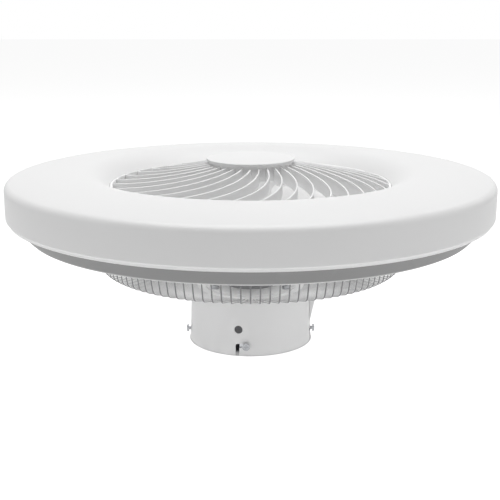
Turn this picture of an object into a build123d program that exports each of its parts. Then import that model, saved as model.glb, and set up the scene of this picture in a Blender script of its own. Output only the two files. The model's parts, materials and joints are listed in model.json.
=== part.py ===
from build123d import *
import math
import os

# Low ceiling fan with a ring light round its blades, standing on its ceiling canopy.
# Frame: millimetres, origin on the ceiling plane in the middle of the canopy rim, +Z from the
# ceiling into the room. Bearings of pieces are in degrees from the front (-Y), positive to +X.

os.makedirs("parts", exist_ok=True)

# Clearances shared by all pieces
RUNNING_FIT = 0.05      # bearing ring to turning bore, per side
SHAFT_FIT = 0.01        # pin or shaft pressed into its bore, per side
HOLE_PLAY = 0.3         # screw shank in a plain hole or slot, per side
LOOSE_GAP = 0.4         # between parts that are put together by hand
SEAT_GAP = 0.05         # round piece lying on a flat one

# Ceiling canopy, the drum that the fan stands on
CANOPY_RIM_RADIUS = 75.1
CANOPY_TOP_RADIUS = 72.8
CANOPY_HEIGHT = 65.0
CANOPY_WALL = 1.2
SLOT_BEARINGS = (-12.0, 78.0, 168.0, 267.0)
SLOT_TRAVEL = 8.0       # degrees that the canopy turns from the screws to the slot mouths
SLOT_SCREW_HEIGHT = 12.3
SLOT_SCREW_STANDOFF = 1.9  # the photo shows the screws not yet tightened
WINDOW_BEARING = -11.2
WINDOW_HEIGHT = 32.0
WINDOW_RADIUS = 4.6
WINDOW_FLANGE = 2.0
WINDOW_DEPTH = 4.0
CABLE_HOLE_RADIUS = 14.0

# Screws: shank radius, head radius and head height by size
M3_SHANK = 1.5
M3_HEAD = 2.8
M3_HEAD_HEIGHT = 1.9
M4_SHANK = 2.0
M4_HEAD = 4.4
M4_HEAD_HEIGHT = 2.8
M5_SHANK = 2.5
M5_HEAD = 4.8
M5_HEAD_HEIGHT = 3.6
THREAD_TAIL = 1.0       # shank that stands out past the last thread
NUT_HEIGHT = 3.4
NUT_ACROSS = 8.0
RECESS_WIDTH = 1.1
RECESS_DEPTH = 1.2

# Ceiling bracket inside the canopy
BRACKET_RADIUS = 64.0
BRACKET_THICK = 2.0
BRACKET_TAB_WIDTH = 16.0
BRACKET_TAB_HEIGHT = 20.0
BRACKET_TAB_REACH = 72.3
ANCHOR_COUNT = 4
ANCHOR_CIRCLE_RADIUS = 55.0
ANCHOR_HOLE_RADIUS = 2.75
ANCHOR_BEARING = 45.0

# Electrics on the bracket
CONTROL_LENGTH = 56.0
CONTROL_WIDTH = 28.0
CONTROL_HEIGHT = 24.0
CONTROL_OFFSET = 32.0
CONTROL_CORNER = 3.0
TERMINAL_WAYS = 3
TERMINAL_PITCH = 11.0
TERMINAL_WIDTH = 18.0
TERMINAL_HEIGHT = 14.0
TERMINAL_OFFSET = 37.0
TERMINAL_SCREW_RADIUS = 2.4

# Wire guard between the canopy and the light ring
GUARD_WIRES = 112
WIRE_RADIUS = 0.8
GUARD_PLATE_INNER = 34.0
GUARD_PLATE_OUTER = 70.0
GUARD_PLATE_THICK = 1.5
WIRE_START_RADIUS = 66.0
GUARD_CORNER_INSET = 8.0
GUARD_CORNER_HEIGHT = 98.0
GUARD_BEND = 9.0
GUARD_RING_SETBACK = 25.0
GUARD_RING_WIDTH = 8.0
GUARD_RING_THICK = 1.8

# Folded wedge bracket on the canopy's side
STAY_WIDTH = 12.0
STAY_FOOT_HEIGHT = 24.4
STAY_TOP_HEIGHT = 67.0
STAY_BEARING = 86.0
STAY_LEAN = 10.6
STAY_SHEET = 1.0

# Stem that carries the motor
STEM_RADIUS = 31.0
STEM_WALL = 3.0
STEM_FLANGE_RADIUS = 56.0
STEM_FLANGE_THICK = 2.5
STEM_HEIGHT = 27.0
STEM_WEB = 4.0
STEM_BOSS_RADIUS = 14.0
STEM_BOSS_DEPTH = 14.0
STEM_BOLT_CIRCLE = 50.0
STEM_BOLTS = 3
STEM_BOLT_BEARING = 60.0

# Motor: fixed shaft and stator inside, turning shell outside
SHAFT_RADIUS = 7.5
SHAFT_BORE = 4.0
BEARING_OUTER = 16.0
BEARING_WIDTH = 9.0
MOTOR_LIFT = 6.0        # stem top to the underside of the motor
MOTOR_RADIUS = 54.0
MOTOR_HEIGHT = 55.0
MOTOR_SHELL = 3.0
MOTOR_FLANGE_RADIUS = 62.0
MOTOR_FLANGE_THICK = 3.0
MOTOR_SCREWS = 5
BEARING_BOSS_WALL = 5.0
YOKE_WALL = 2.4
YOKE_HEIGHT = 24.0
MAGNETS = 14
MAGNET_THICK = 3.0
MAGNET_ARC = 22.0
AIR_GAP = 0.6
STATOR_TEETH = 12
STATOR_HEIGHT = 16.0
STATOR_HUB = 20.0
TOOTH_WIDTH = 6.0
SHOE_THICK = 3.0
SHOE_ARC = 24.0
COIL_WALL = 2.6
COIL_INNER = 24.0

# Turning hub and blades
HUB_RADIUS = 60.0
HUB_THICK = 3.0
HUB_HOLE_RADIUS = 20.0
HUB_SKIRT = 5.0
HUB_SCREWS = 3
HUB_SCREW_CIRCLE = 27.0
BLADES = 5
BLADE_TIP_GAP = 4.0
BLADE_ROOT_RADIUS = 80.0
BLADE_WIDE_RADIUS = 122.0
BLADE_ROOT_CHORD = 54.0
BLADE_WIDE_CHORD = 78.0
BLADE_TIP_CHORD = 66.0
BLADE_ROOT_PITCH = 24.0
BLADE_WIDE_PITCH = 18.0
BLADE_TIP_PITCH = 14.0
BLADE_THICK = 2.4
BLADE_CAMBER = 0.07     # rise of the blade's arc as a share of its chord
FOOT_INNER = 36.0
FOOT_WIDTH = 24.0
FOOT_THICK = 3.0
FOOT_SCREW_RADII = (43.0, 54.0)

# Light ring: back shell, tray, boards and shade
SHADE_RADIUS = 290.0
SHADE_FOOT_HEIGHT = 164.1
SHADE_EDGE_HEIGHT = 204.4
SHADE_CREST_SETBACK = 36.0
SHADE_CREST_HEIGHT = 212.0
SHADE_MOUTH_STEP = 4.0
SHADE_MOUTH_HEIGHT = 195.6
SHADE_THICK = 2.2
SHADE_EDGE_ROUND = 9.0
SHADE_FOOT_THICK = 3.0
SHADE_FOOT_ROUND = 2.6
SHADE_MOUTH_ROUND = 1.2
SPIGOT_THICK = 2.0
SHELL_LIP_SETBACK = 3.0
SHELL_LIP_THICK = 3.0
SHELL_LIP_WIDTH = 4.0
SHELL_CONE_RUN = 20.0
SHELL_FLOOR_HEIGHT = 141.0
SHELL_THICK = 2.2
SHELL_EDGE_ROUND = 6.0
DUCT_RADIUS = 165.0
DUCT_WALL = 2.0
DUCT_FLANGE = 2.5
DUCT_TOP_HEIGHT = 176.0
DUCT_FLANGE_WIDTH = 23.0
TRAY_DUCT_GAP = 4.0
TRAY_EDGE_GAP = 9.5
TRAY_THICK = 1.2
TRAY_HEIGHT = 167.0
TRAY_POSTS = 8
TRAY_POST_SETBACK = 12.0
TRAY_POST_EDGE = 14.0
TRAY_POST_RADIUS = 4.5
BOARDS = 4
BOARD_POST_GAP = 10.0
BOARD_POST_EDGE = 6.0
BOARD_THICK = 1.6
BOARD_GAP_ANGLE = 3.0
CHIP_ROWS = 2
CHIPS_PER_ROW = 12
BOARD_SCREWS = 3
CHIP_LENGTH = 3.5
CHIP_WIDTH = 2.8
CHIP_HEIGHT = 0.8
DRIVER_LENGTH = 90.0
DRIVER_WIDTH = 26.0
DRIVER_HEIGHT = 18.0
DRIVER_CORNER = 4.0
FIXING_SCREWS = 8

# Front grille and its cap
GRILLE_RIM_WALL = 3.2
GRILLE_HUB_RADIUS = 50.0
GRILLE_HUB_WALL = 2.5
GRILLE_HUB_DEPTH = 16.0
GRILLE_SLATS = 32
SLAT_THICK = 2.0
SLAT_DEPTH = 16.0
SLAT_HUB_DROP = 3.5
SLAT_MIDDLE_SWEEP = 16.5
SLAT_END_SWEEP = 41.5
CAP_RADIUS = 53.0
CAP_UNDERSIDE = 223.0
CAP_RIM_THICK = 2.2
CAP_DOME_RISE = 3.0
CAP_WALL = 1.8
CAP_SPIGOT_DEPTH = 8.0

# Radii and heights worked out from the sizes above
BLADE_TIP_RADIUS = DUCT_RADIUS - BLADE_TIP_GAP
GUARD_RING_RADIUS = DUCT_RADIUS + GUARD_RING_SETBACK
GUARD_CORNER_RADIUS = GUARD_RING_RADIUS - GUARD_CORNER_INSET
DUCT_FLANGE_OUTER = DUCT_RADIUS + DUCT_FLANGE_WIDTH
SHADE_MOUTH_RADIUS = DUCT_RADIUS + SHADE_MOUTH_STEP
SHADE_CREST_RADIUS = SHADE_MOUTH_RADIUS + SHADE_CREST_SETBACK
SLAT_HUB_HEIGHT = CAP_UNDERSIDE - SLAT_HUB_DROP
GUARD_PLATE_TOP = CANOPY_HEIGHT + GUARD_PLATE_THICK
STEM_FLANGE_TOP = GUARD_PLATE_TOP + STEM_FLANGE_THICK
STEM_TOP = GUARD_PLATE_TOP + STEM_HEIGHT
MOTOR_BOTTOM = STEM_TOP + MOTOR_LIFT
MOTOR_TOP = MOTOR_BOTTOM + MOTOR_HEIGHT
MOTOR_MIDDLE = MOTOR_BOTTOM + MOTOR_HEIGHT / 2
HUB_TOP = MOTOR_TOP + HUB_THICK
FOOT_TOP = HUB_TOP + FOOT_THICK
BLADE_HEIGHT = FOOT_TOP - FOOT_THICK / 2
MAGNET_INNER = MOTOR_RADIUS - MOTOR_SHELL - YOKE_WALL - MAGNET_THICK
STATOR_RADIUS = MAGNET_INNER - AIR_GAP
GUARD_RING_BOTTOM = SHELL_FLOOR_HEIGHT - GUARD_RING_THICK
SHELL_FLOOR_TOP = SHELL_FLOOR_HEIGHT + SHELL_THICK
SHELL_LIP_BOTTOM = SHADE_FOOT_HEIGHT - SHELL_LIP_THICK
SHELL_LIP_RADIUS = SHADE_RADIUS - SHELL_LIP_SETBACK
SHELL_CONE_TOP_RADIUS = SHELL_LIP_RADIUS - SHELL_LIP_WIDTH
SHELL_FLOOR_RADIUS = SHELL_CONE_TOP_RADIUS - SHELL_CONE_RUN
SHELL_WALL_RUN = SHELL_THICK / math.sin(math.atan2(SHELL_LIP_BOTTOM - SHELL_FLOOR_HEIGHT, SHELL_CONE_RUN))
SPIGOT_OUTER = SHELL_CONE_TOP_RADIUS - SHELL_WALL_RUN - LOOSE_GAP
SPIGOT_INNER = SPIGOT_OUTER - SPIGOT_THICK
TRAY_TOP = TRAY_HEIGHT + TRAY_THICK
TRAY_INNER = DUCT_FLANGE_OUTER + TRAY_DUCT_GAP
TRAY_OUTER = SPIGOT_INNER - TRAY_EDGE_GAP
TRAY_POST_CIRCLES = (TRAY_INNER + TRAY_POST_SETBACK, TRAY_OUTER - TRAY_POST_EDGE)
BOARD_INNER = TRAY_POST_CIRCLES[0] + BOARD_POST_GAP
BOARD_WIDTH = TRAY_POST_CIRCLES[1] - BOARD_POST_EDGE - BOARD_INNER
BOARD_TOP = TRAY_TOP + BOARD_THICK
GRILLE_RIM_OUTER = SHADE_MOUTH_RADIUS - LOOSE_GAP
GRILLE_RIM_INNER = GRILLE_RIM_OUTER - GRILLE_RIM_WALL


def cylinder(radius, bottom, top):
    """Upright round bar on the Z axis."""
    return Pos(0, 0, bottom) * Cylinder(radius, top - bottom, align=(Align.CENTER, Align.CENTER, Align.MIN))


def ring(inner, outer, bottom, top):
    """Flat ring or tube on the Z axis."""
    return cylinder(outer, bottom, top) - cylinder(inner, bottom - 1, top + 1)


def turned(edges):
    """Solid of revolution about Z from the edges of a closed outline in the XZ plane."""
    outline = make_face(Wire(edges))
    return revolve(outline, axis=Axis.Z)


def turned_polygon(points):
    """Solid of revolution about Z from corner points given as radius and height."""
    corners = [Vector(radius, 0, height) for radius, height in points]
    return turned(Polyline(*corners, close=True).edges())


def rim_of(shape, radius, height):
    """The level circular edge of a turned shape that lies nearest to a radius and height."""
    level = [edge for edge in shape.edges().filter_by(GeomType.CIRCLE) if abs((edge @ 0).Z - (edge @ 0.5).Z) < 0.001]
    return min(level, key=lambda edge: math.hypot(edge.radius - radius, (edge @ 0).Z - height))


def at_bearing(shape, bearing):
    """Turn a shape built on the front side (-Y) to its bearing."""
    return Rot(0, 0, bearing) * shape


def repeated(shape, count, first=0.0):
    """Evenly spaced copies of a front-side shape round the Z axis."""
    step = 360 / count
    return [at_bearing(shape, first + step * index) for index in range(count)]


def slot_places(shape, turn):
    """Copies of a front-side shape at the canopy's slots, turned on by some degrees."""
    return [at_bearing(shape, bearing + turn) for bearing in SLOT_BEARINGS]


def front_box(width, near, far, bottom, top):
    """Box on the front side, from one radius out to another."""
    block = Box(width, far - near, top - bottom, align=(Align.CENTER, Align.MAX, Align.MIN))
    return Pos(0, -near, bottom) * block


def pan_screw(shank, head, head_height, length):
    """Cross-recessed pan head screw, underside of the head at Z = 0, shank down -Z."""
    body = cylinder(shank, -length, 0) + cylinder(head, 0, head_height)
    body = fillet(rim_of(body, head, head_height), head_height * 0.45)
    reach = head * 1.1
    recess = Box(reach, RECESS_WIDTH, RECESS_DEPTH) + Box(RECESS_WIDTH, reach, RECESS_DEPTH)
    return body - Pos(0, 0, head_height - RECESS_DEPTH / 2) * recess


def save(name, shape):
    """Write one named piece, or one group of like pieces."""
    solids = shape if isinstance(shape, list) else [shape]
    bodies = [solid for item in solids for solid in item.solids()]
    result = bodies[0] if len(bodies) == 1 else Compound(children=bodies)
    export_step(result, f"parts/{name}.step")
    print(name, len(bodies), "solids")


def canopy_radius(height):
    """Outer radius of the tapered canopy wall at a height."""
    return CANOPY_RIM_RADIUS + (CANOPY_TOP_RADIUS - CANOPY_RIM_RADIUS) * height / CANOPY_HEIGHT


def slat_top(radius):
    """Height of the grille's cone, from the shade's mouth up to the slats' inner ends."""
    run = SHADE_MOUTH_RADIUS - GRILLE_HUB_RADIUS
    rise = SLAT_HUB_HEIGHT - SHADE_MOUTH_HEIGHT
    return SHADE_MOUTH_HEIGHT + rise * (SHADE_MOUTH_RADIUS - radius) / run


def radial_pin(radius, near, far, height):
    """Round bar lying along the front radius."""
    bar = Cylinder(radius, far - near, align=(Align.CENTER, Align.CENTER, Align.MIN))
    return Pos(0, -near, height) * Rot(90, 0, 0) * bar


def ring_sector(inner, outer, first, last, bottom, top):
    """Part of a ring between two bearings, less than a half turn apart."""
    reach = 2 * outer
    middle = (first + last) / 2
    corners = [(0, 0)]
    for bearing in (first, middle, last):
        angle = math.radians(bearing)
        corners.append((reach * math.sin(angle), -reach * math.cos(angle)))
    wedge = extrude(make_face(Polyline(*corners, close=True)), top - bottom)
    return ring(inner, outer, bottom, top) & Pos(0, 0, bottom) * wedge


def bayonet_slot():
    """Cutter for one L slot: a leg open at the rim and a level leg that ends at the screw."""
    half = M4_SHANK + HOLE_PLAY
    near = CANOPY_TOP_RADIUS - 4 * CANOPY_WALL
    far = CANOPY_RIM_RADIUS + 2
    slot = front_box(2 * half, near, far, -1, SLOT_SCREW_HEIGHT)
    slot = slot + ring_sector(near, far, 0, SLOT_TRAVEL, SLOT_SCREW_HEIGHT - half, SLOT_SCREW_HEIGHT + half)
    for bearing in (0, SLOT_TRAVEL):
        slot = slot + at_bearing(radial_pin(half, near, far, SLOT_SCREW_HEIGHT), bearing)
    return slot


def stem_bolt_holes():
    """Cutters for the bolts through canopy, guard plate and stem flange."""
    hole = cylinder(M5_SHANK + HOLE_PLAY, CANOPY_HEIGHT - 3 * CANOPY_WALL, STEM_FLANGE_TOP + 1)
    return repeated(Pos(0, -STEM_BOLT_CIRCLE, 0) * hole, STEM_BOLTS, STEM_BOLT_BEARING)


def ceiling_canopy():
    """Tapered sheet steel drum with its top plate, L slots, window hole and bolt holes."""
    inner_top = CANOPY_HEIGHT - CANOPY_WALL
    drum = turned_polygon([(0, CANOPY_HEIGHT), (CANOPY_TOP_RADIUS, CANOPY_HEIGHT), (CANOPY_RIM_RADIUS, 0),
                           (CANOPY_RIM_RADIUS - CANOPY_WALL, 0), (CANOPY_TOP_RADIUS - CANOPY_WALL, inner_top),
                           (0, inner_top)])
    drum = fillet(rim_of(drum, CANOPY_TOP_RADIUS, CANOPY_HEIGHT), CANOPY_WALL * 0.9)
    hole = radial_pin(WINDOW_RADIUS + HOLE_PLAY, CANOPY_TOP_RADIUS / 2, CANOPY_RIM_RADIUS + 2, WINDOW_HEIGHT)
    cable_way = cylinder(STEM_RADIUS - STEM_WALL, inner_top - 1, CANOPY_HEIGHT + 1)
    slots = slot_places(bayonet_slot(), 0)
    return drum - [at_bearing(hole, WINDOW_BEARING), cable_way, *slots, *stem_bolt_holes()]


def receiver_window():
    """Dark round window of the remote receiver, pushed into its hole from inside."""
    outside = canopy_radius(WINDOW_HEIGHT)
    seat = canopy_radius(WINDOW_HEIGHT + WINDOW_RADIUS + WINDOW_FLANGE) - CANOPY_WALL
    seat = seat * math.cos((WINDOW_RADIUS + WINDOW_FLANGE) / outside) - SEAT_GAP
    stalk = radial_pin(WINDOW_RADIUS, seat - WINDOW_DEPTH, outside - LOOSE_GAP, WINDOW_HEIGHT)
    flange = radial_pin(WINDOW_RADIUS + WINDOW_FLANGE, seat - WINDOW_DEPTH, seat, WINDOW_HEIGHT)
    return at_bearing(stalk + flange, WINDOW_BEARING)


def canopy_stay():
    """Folded wedge bracket on the canopy's side, open towards the wall."""
    foot = canopy_radius(STAY_FOOT_HEIGHT) + SEAT_GAP
    back = canopy_radius(STAY_TOP_HEIGHT) + SEAT_GAP
    side = make_face(Polyline((0, -foot, STAY_FOOT_HEIGHT), (0, -back - STAY_LEAN, STAY_TOP_HEIGHT),
                              (0, -back, STAY_TOP_HEIGHT), close=True))
    outside = extrude(side, STAY_WIDTH / 2, dir=(1, 0, 0), both=True)
    inside = extrude(side, STAY_WIDTH / 2 - STAY_SHEET, dir=(1, 0, 0), both=True)
    return at_bearing(outside - Pos(0, STAY_SHEET, 0) * inside, STAY_BEARING)


def ceiling_bracket():
    """Stamped steel plate on the ceiling with four tabs that take the canopy screws."""
    plate = cylinder(BRACKET_RADIUS, 0, BRACKET_THICK)
    tab_near = BRACKET_TAB_REACH - BRACKET_THICK
    arm = front_box(BRACKET_TAB_WIDTH, tab_near / 2, BRACKET_TAB_REACH, 0, BRACKET_THICK)
    tab = front_box(BRACKET_TAB_WIDTH, tab_near, BRACKET_TAB_REACH, 0, BRACKET_TAB_HEIGHT)
    tapped = radial_pin(M4_SHANK + SHAFT_FIT, tab_near - 1, BRACKET_TAB_REACH + 1, SLOT_SCREW_HEIGHT)
    plate = plate + slot_places(arm + tab - tapped, SLOT_TRAVEL)
    anchor = Pos(0, -ANCHOR_CIRCLE_RADIUS, 0) * cylinder(ANCHOR_HOLE_RADIUS, -1, BRACKET_THICK + 1)
    cable_hole = cylinder(CABLE_HOLE_RADIUS, -1, BRACKET_THICK + 1)
    return plate - [cable_hole, *repeated(anchor, ANCHOR_COUNT, ANCHOR_BEARING)]


def canopy_screws():
    """Four screws through the L slots into the bracket's tabs."""
    head_under = canopy_radius(SLOT_SCREW_HEIGHT - M4_HEAD) + HOLE_PLAY + SLOT_SCREW_STANDOFF
    length = head_under - BRACKET_TAB_REACH + BRACKET_THICK + THREAD_TAIL
    screw = Rot(90, 0, 0) * pan_screw(M4_SHANK, M4_HEAD, M4_HEAD_HEIGHT, length)
    placed = Pos(0, -head_under, SLOT_SCREW_HEIGHT) * screw
    return slot_places(placed, SLOT_TRAVEL)


def control_box():
    """Closed plastic box of the fan's speed and light controller."""
    box = Box(CONTROL_LENGTH, CONTROL_WIDTH, CONTROL_HEIGHT, align=(Align.CENTER, Align.CENTER, Align.MIN))
    box = fillet(box.edges().filter_by(Axis.Z), CONTROL_CORNER)
    box = fillet(box.edges().group_by(Axis.Z)[-1], CONTROL_CORNER / 2)
    return Pos(0, CONTROL_OFFSET, BRACKET_THICK) * box


def terminal_block():
    """Screw terminal block for the mains wires."""
    length = TERMINAL_WAYS * TERMINAL_PITCH
    block = Box(length, TERMINAL_WIDTH, TERMINAL_HEIGHT, align=(Align.CENTER, Align.CENTER, Align.MIN))
    wells = []
    for way in range(TERMINAL_WAYS):
        place = (way - (TERMINAL_WAYS - 1) / 2) * TERMINAL_PITCH
        entry = Rot(90, 0, 0) * Cylinder(TERMINAL_SCREW_RADIUS, 2 * TERMINAL_WIDTH)
        wells.append(Pos(place, 0, 0) * cylinder(TERMINAL_SCREW_RADIUS, TERMINAL_HEIGHT / 2, TERMINAL_HEIGHT + 1))
        wells.append(Pos(place, 0, TERMINAL_HEIGHT / 3) * entry)
    return Pos(0, -TERMINAL_OFFSET, BRACKET_THICK) * (block - wells)


def guard_plate():
    """Flat steel ring clamped on the canopy, with the wires' inner ends on it."""
    plate = ring(GUARD_PLATE_INNER, GUARD_PLATE_OUTER, CANOPY_HEIGHT, GUARD_PLATE_TOP)
    return plate - stem_bolt_holes()


def guard_wires():
    """Bent wires from the guard plate out to the corner and up to the guard ring."""
    lean = math.atan2(GUARD_RING_RADIUS - GUARD_CORNER_RADIUS, GUARD_RING_BOTTOM - GUARD_CORNER_HEIGHT)
    start = (0, -WIRE_START_RADIUS, GUARD_PLATE_TOP + WIRE_RADIUS + SEAT_GAP)
    corner = (0, -GUARD_CORNER_RADIUS, GUARD_CORNER_HEIGHT)
    end = (0, -GUARD_RING_RADIUS, GUARD_RING_BOTTOM - WIRE_RADIUS * math.sin(lean) - SEAT_GAP)
    route = FilletPolyline(start, corner, end, radius=GUARD_BEND)
    section = Plane(origin=route @ 0, z_dir=route % 0) * Circle(WIRE_RADIUS)
    return repeated(sweep(section, path=route), GUARD_WIRES)


def fixing_places(shape):
    """Copies of a screw or its hole, between the guard wires, round the guard ring."""
    half_pitch = 180 / GUARD_WIRES
    return repeated(Pos(0, -GUARD_RING_RADIUS, 0) * shape, FIXING_SCREWS, half_pitch)


def guard_ring():
    """Flat steel ring under the back shell, with the wires' outer ends on it."""
    inner = GUARD_RING_RADIUS - GUARD_RING_WIDTH / 2
    band = ring(inner, inner + GUARD_RING_WIDTH, GUARD_RING_BOTTOM, SHELL_FLOOR_HEIGHT)
    return band - fixing_places(cylinder(M3_SHANK + HOLE_PLAY, GUARD_RING_BOTTOM - 1, SHELL_FLOOR_TOP))


def fixing_screws():
    """Screws up through the guard ring and the shell into the duct's flange."""
    length = GUARD_RING_THICK + SHELL_THICK + DUCT_FLANGE
    screw = Rot(180, 0, 0) * pan_screw(M3_SHANK, M3_HEAD, M3_HEAD_HEIGHT, length)
    return fixing_places(Pos(0, 0, GUARD_RING_BOTTOM) * screw)


def motor_stem():
    """Flanged steel cup bolted on the canopy, with a web and boss for the shaft."""
    bore = STEM_RADIUS - STEM_WALL
    flange = ring(bore, STEM_FLANGE_RADIUS, GUARD_PLATE_TOP, STEM_FLANGE_TOP)
    tube = ring(bore, STEM_RADIUS, GUARD_PLATE_TOP, STEM_TOP)
    web = cylinder(STEM_RADIUS, STEM_TOP - STEM_WEB, STEM_TOP)
    boss = cylinder(STEM_BOSS_RADIUS, STEM_TOP - STEM_BOSS_DEPTH, STEM_TOP)
    shaft_bore = cylinder(SHAFT_RADIUS + SHAFT_FIT, STEM_TOP - STEM_BOSS_DEPTH - 1, STEM_TOP + 1)
    return flange + [tube, web, boss] - [shaft_bore, *stem_bolt_holes()]


def stem_bolts():
    """Bolts down through stem flange, guard plate and canopy."""
    grip = STEM_FLANGE_TOP - CANOPY_HEIGHT + CANOPY_WALL
    bolt = pan_screw(M5_SHANK, M5_HEAD, M5_HEAD_HEIGHT, grip + NUT_HEIGHT + THREAD_TAIL)
    return repeated(Pos(0, -STEM_BOLT_CIRCLE, STEM_FLANGE_TOP) * bolt, STEM_BOLTS, STEM_BOLT_BEARING)


def stem_nuts():
    """Hexagon nuts on the stem bolts, inside the canopy."""
    hexagon = extrude(RegularPolygon(NUT_ACROSS / 2, 6, major_radius=False), NUT_HEIGHT)
    nut = hexagon - cylinder(M5_SHANK + SHAFT_FIT, -1, NUT_HEIGHT + 1)
    bottom = CANOPY_HEIGHT - CANOPY_WALL - NUT_HEIGHT
    return repeated(Pos(0, -STEM_BOLT_CIRCLE, bottom) * nut, STEM_BOLTS, STEM_BOLT_BEARING)


def motor_shaft():
    """Hollow fixed shaft pressed into the stem, with both bearings and the stator on it."""
    bottom = STEM_TOP - STEM_BOSS_DEPTH
    top = MOTOR_TOP - MOTOR_SHELL - LOOSE_GAP
    return ring(SHAFT_BORE, SHAFT_RADIUS, bottom, top)


def bearing(bottom):
    """Shielded ball bearing drawn as one ring with its shield grooves."""
    body = ring(SHAFT_RADIUS + SHAFT_FIT, BEARING_OUTER, bottom, bottom + BEARING_WIDTH)
    race = (BEARING_OUTER - SHAFT_RADIUS) / 3
    groove = BEARING_WIDTH / 12
    lower = ring(SHAFT_RADIUS + race, BEARING_OUTER - race, bottom - 1, bottom + groove)
    upper = Pos(0, 0, BEARING_WIDTH + 1 - groove) * lower
    return body - [lower, upper]


def lower_bearing():
    """Bearing by the stem."""
    return bearing(MOTOR_BOTTOM + MOTOR_SHELL + LOOSE_GAP)


def upper_bearing():
    """Bearing by the fan hub."""
    return bearing(MOTOR_TOP - MOTOR_SHELL - LOOSE_GAP - BEARING_WIDTH)


def stator_core():
    """Laminated core with its teeth and their shoes."""
    bottom = MOTOR_MIDDLE - STATOR_HEIGHT / 2
    top = MOTOR_MIDDLE + STATOR_HEIGHT / 2
    hub = ring(SHAFT_RADIUS + SHAFT_FIT, STATOR_HUB, bottom, top)
    tooth = front_box(TOOTH_WIDTH, STATOR_HUB - 1, STATOR_RADIUS - SHOE_THICK / 2, bottom, top)
    shoe = ring_sector(STATOR_RADIUS - SHOE_THICK, STATOR_RADIUS, -SHOE_ARC / 2, SHOE_ARC / 2, bottom, top)
    return hub + repeated(tooth + shoe, STATOR_TEETH)


def stator_windings():
    """One closed coil block round each tooth."""
    far = STATOR_RADIUS - SHOE_THICK - 1
    width = TOOTH_WIDTH + 2 * COIL_WALL
    bottom = MOTOR_MIDDLE - STATOR_HEIGHT / 2
    top = MOTOR_MIDDLE + STATOR_HEIGHT / 2
    block = front_box(width, COIL_INNER, far, bottom - COIL_WALL, top + COIL_WALL)
    tooth_way = front_box(TOOTH_WIDTH + 2 * SEAT_GAP, COIL_INNER - 1, far + 1, bottom - SEAT_GAP, top + SEAT_GAP)
    return repeated(block - tooth_way, STATOR_TEETH)


def rotor_yoke():
    """Steel ring that carries the magnets inside the motor shell."""
    outer = MOTOR_RADIUS - MOTOR_SHELL - SHAFT_FIT
    return ring(outer - YOKE_WALL, outer, MOTOR_MIDDLE - YOKE_HEIGHT / 2, MOTOR_MIDDLE + YOKE_HEIGHT / 2)


def rotor_magnets():
    """Curved magnets inside the yoke."""
    outer = MAGNET_INNER + MAGNET_THICK - 2 * SHAFT_FIT
    bottom = MOTOR_MIDDLE - STATOR_HEIGHT / 2
    magnet = ring_sector(MAGNET_INNER, outer, -MAGNET_ARC / 2, MAGNET_ARC / 2, bottom, bottom + STATOR_HEIGHT)
    return repeated(magnet, MAGNETS)


def motor_screw_places(shape):
    """Copies of a screw or its hole round the motor's flanges."""
    circle = (MOTOR_RADIUS + MOTOR_FLANGE_RADIUS) / 2
    return repeated(Pos(0, -circle, 0) * shape, MOTOR_SCREWS)


def motor_half():
    """Half of the motor shell, built disc down: disc, wall, flange and bearing boss."""
    half = MOTOR_HEIGHT / 2
    boss_top = MOTOR_SHELL + LOOSE_GAP + BEARING_WIDTH
    cover = cylinder(MOTOR_RADIUS, 0, half) - cylinder(MOTOR_RADIUS - MOTOR_SHELL, MOTOR_SHELL, half + 1)
    cover = fillet(rim_of(cover, MOTOR_RADIUS, 0), MOTOR_SHELL * 0.8)
    flange = ring(MOTOR_RADIUS - MOTOR_SHELL / 2, MOTOR_FLANGE_RADIUS, half - MOTOR_FLANGE_THICK, half)
    boss = cylinder(BEARING_OUTER + BEARING_BOSS_WALL, 0, boss_top)
    seat = cylinder(BEARING_OUTER + RUNNING_FIT, MOTOR_SHELL, boss_top + 1)
    tapped = cylinder(M4_SHANK + SHAFT_FIT, half - MOTOR_FLANGE_THICK - 1, half + 1)
    return cover + [flange, boss] - [seat, *motor_screw_places(tapped)]


def motor_lower_cover():
    """Half of the motor shell by the stem, with the way for the shaft."""
    shaft_way = cylinder(SHAFT_RADIUS + HOLE_PLAY, -1, MOTOR_SHELL + 1)
    return Pos(0, 0, MOTOR_BOTTOM) * (motor_half() - shaft_way)


def motor_upper_cover():
    """Half of the motor shell by the hub, with the tapped holes for the hub screws."""
    cover = Pos(0, 0, MOTOR_TOP) * mirror(motor_half(), about=Plane.XY)
    return cover - hub_screw_places(cylinder(M4_SHANK + SHAFT_FIT, MOTOR_TOP - MOTOR_SHELL - 1, MOTOR_TOP + 1))


def motor_screws():
    """Screws that close the two halves of the motor shell."""
    screw = pan_screw(M4_SHANK, M4_HEAD * 0.8, M4_HEAD_HEIGHT * 0.8, 2 * MOTOR_FLANGE_THICK)
    return motor_screw_places(Pos(0, 0, MOTOR_MIDDLE + MOTOR_FLANGE_THICK) * screw)


def hub_screw_places(shape):
    """Copies of a screw or its hole round the middle of the hub."""
    return repeated(Pos(0, -HUB_SCREW_CIRCLE, 0) * shape, HUB_SCREWS)


def blade_screw_places(shape):
    """Copies of a screw or its hole in the feet of all blades."""
    pair = [Pos(0, -radius, 0) * shape for radius in FOOT_SCREW_RADII]
    return [copy for item in pair for copy in repeated(item, BLADES)]


def fan_hub():
    """Pressed disc with a turned-down edge that carries the blades on the motor."""
    disc = ring(HUB_HOLE_RADIUS, HUB_RADIUS, MOTOR_TOP, HUB_TOP)
    skirt = ring(HUB_RADIUS - HUB_THICK, HUB_RADIUS, MOTOR_TOP - HUB_SKIRT, MOTOR_TOP)
    plain = cylinder(M4_SHANK + HOLE_PLAY, MOTOR_TOP - 1, HUB_TOP + 1)
    tapped = cylinder(M4_SHANK + SHAFT_FIT, MOTOR_TOP - 1, HUB_TOP + 1)
    return disc + skirt - [*hub_screw_places(plain), *blade_screw_places(tapped)]


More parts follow.
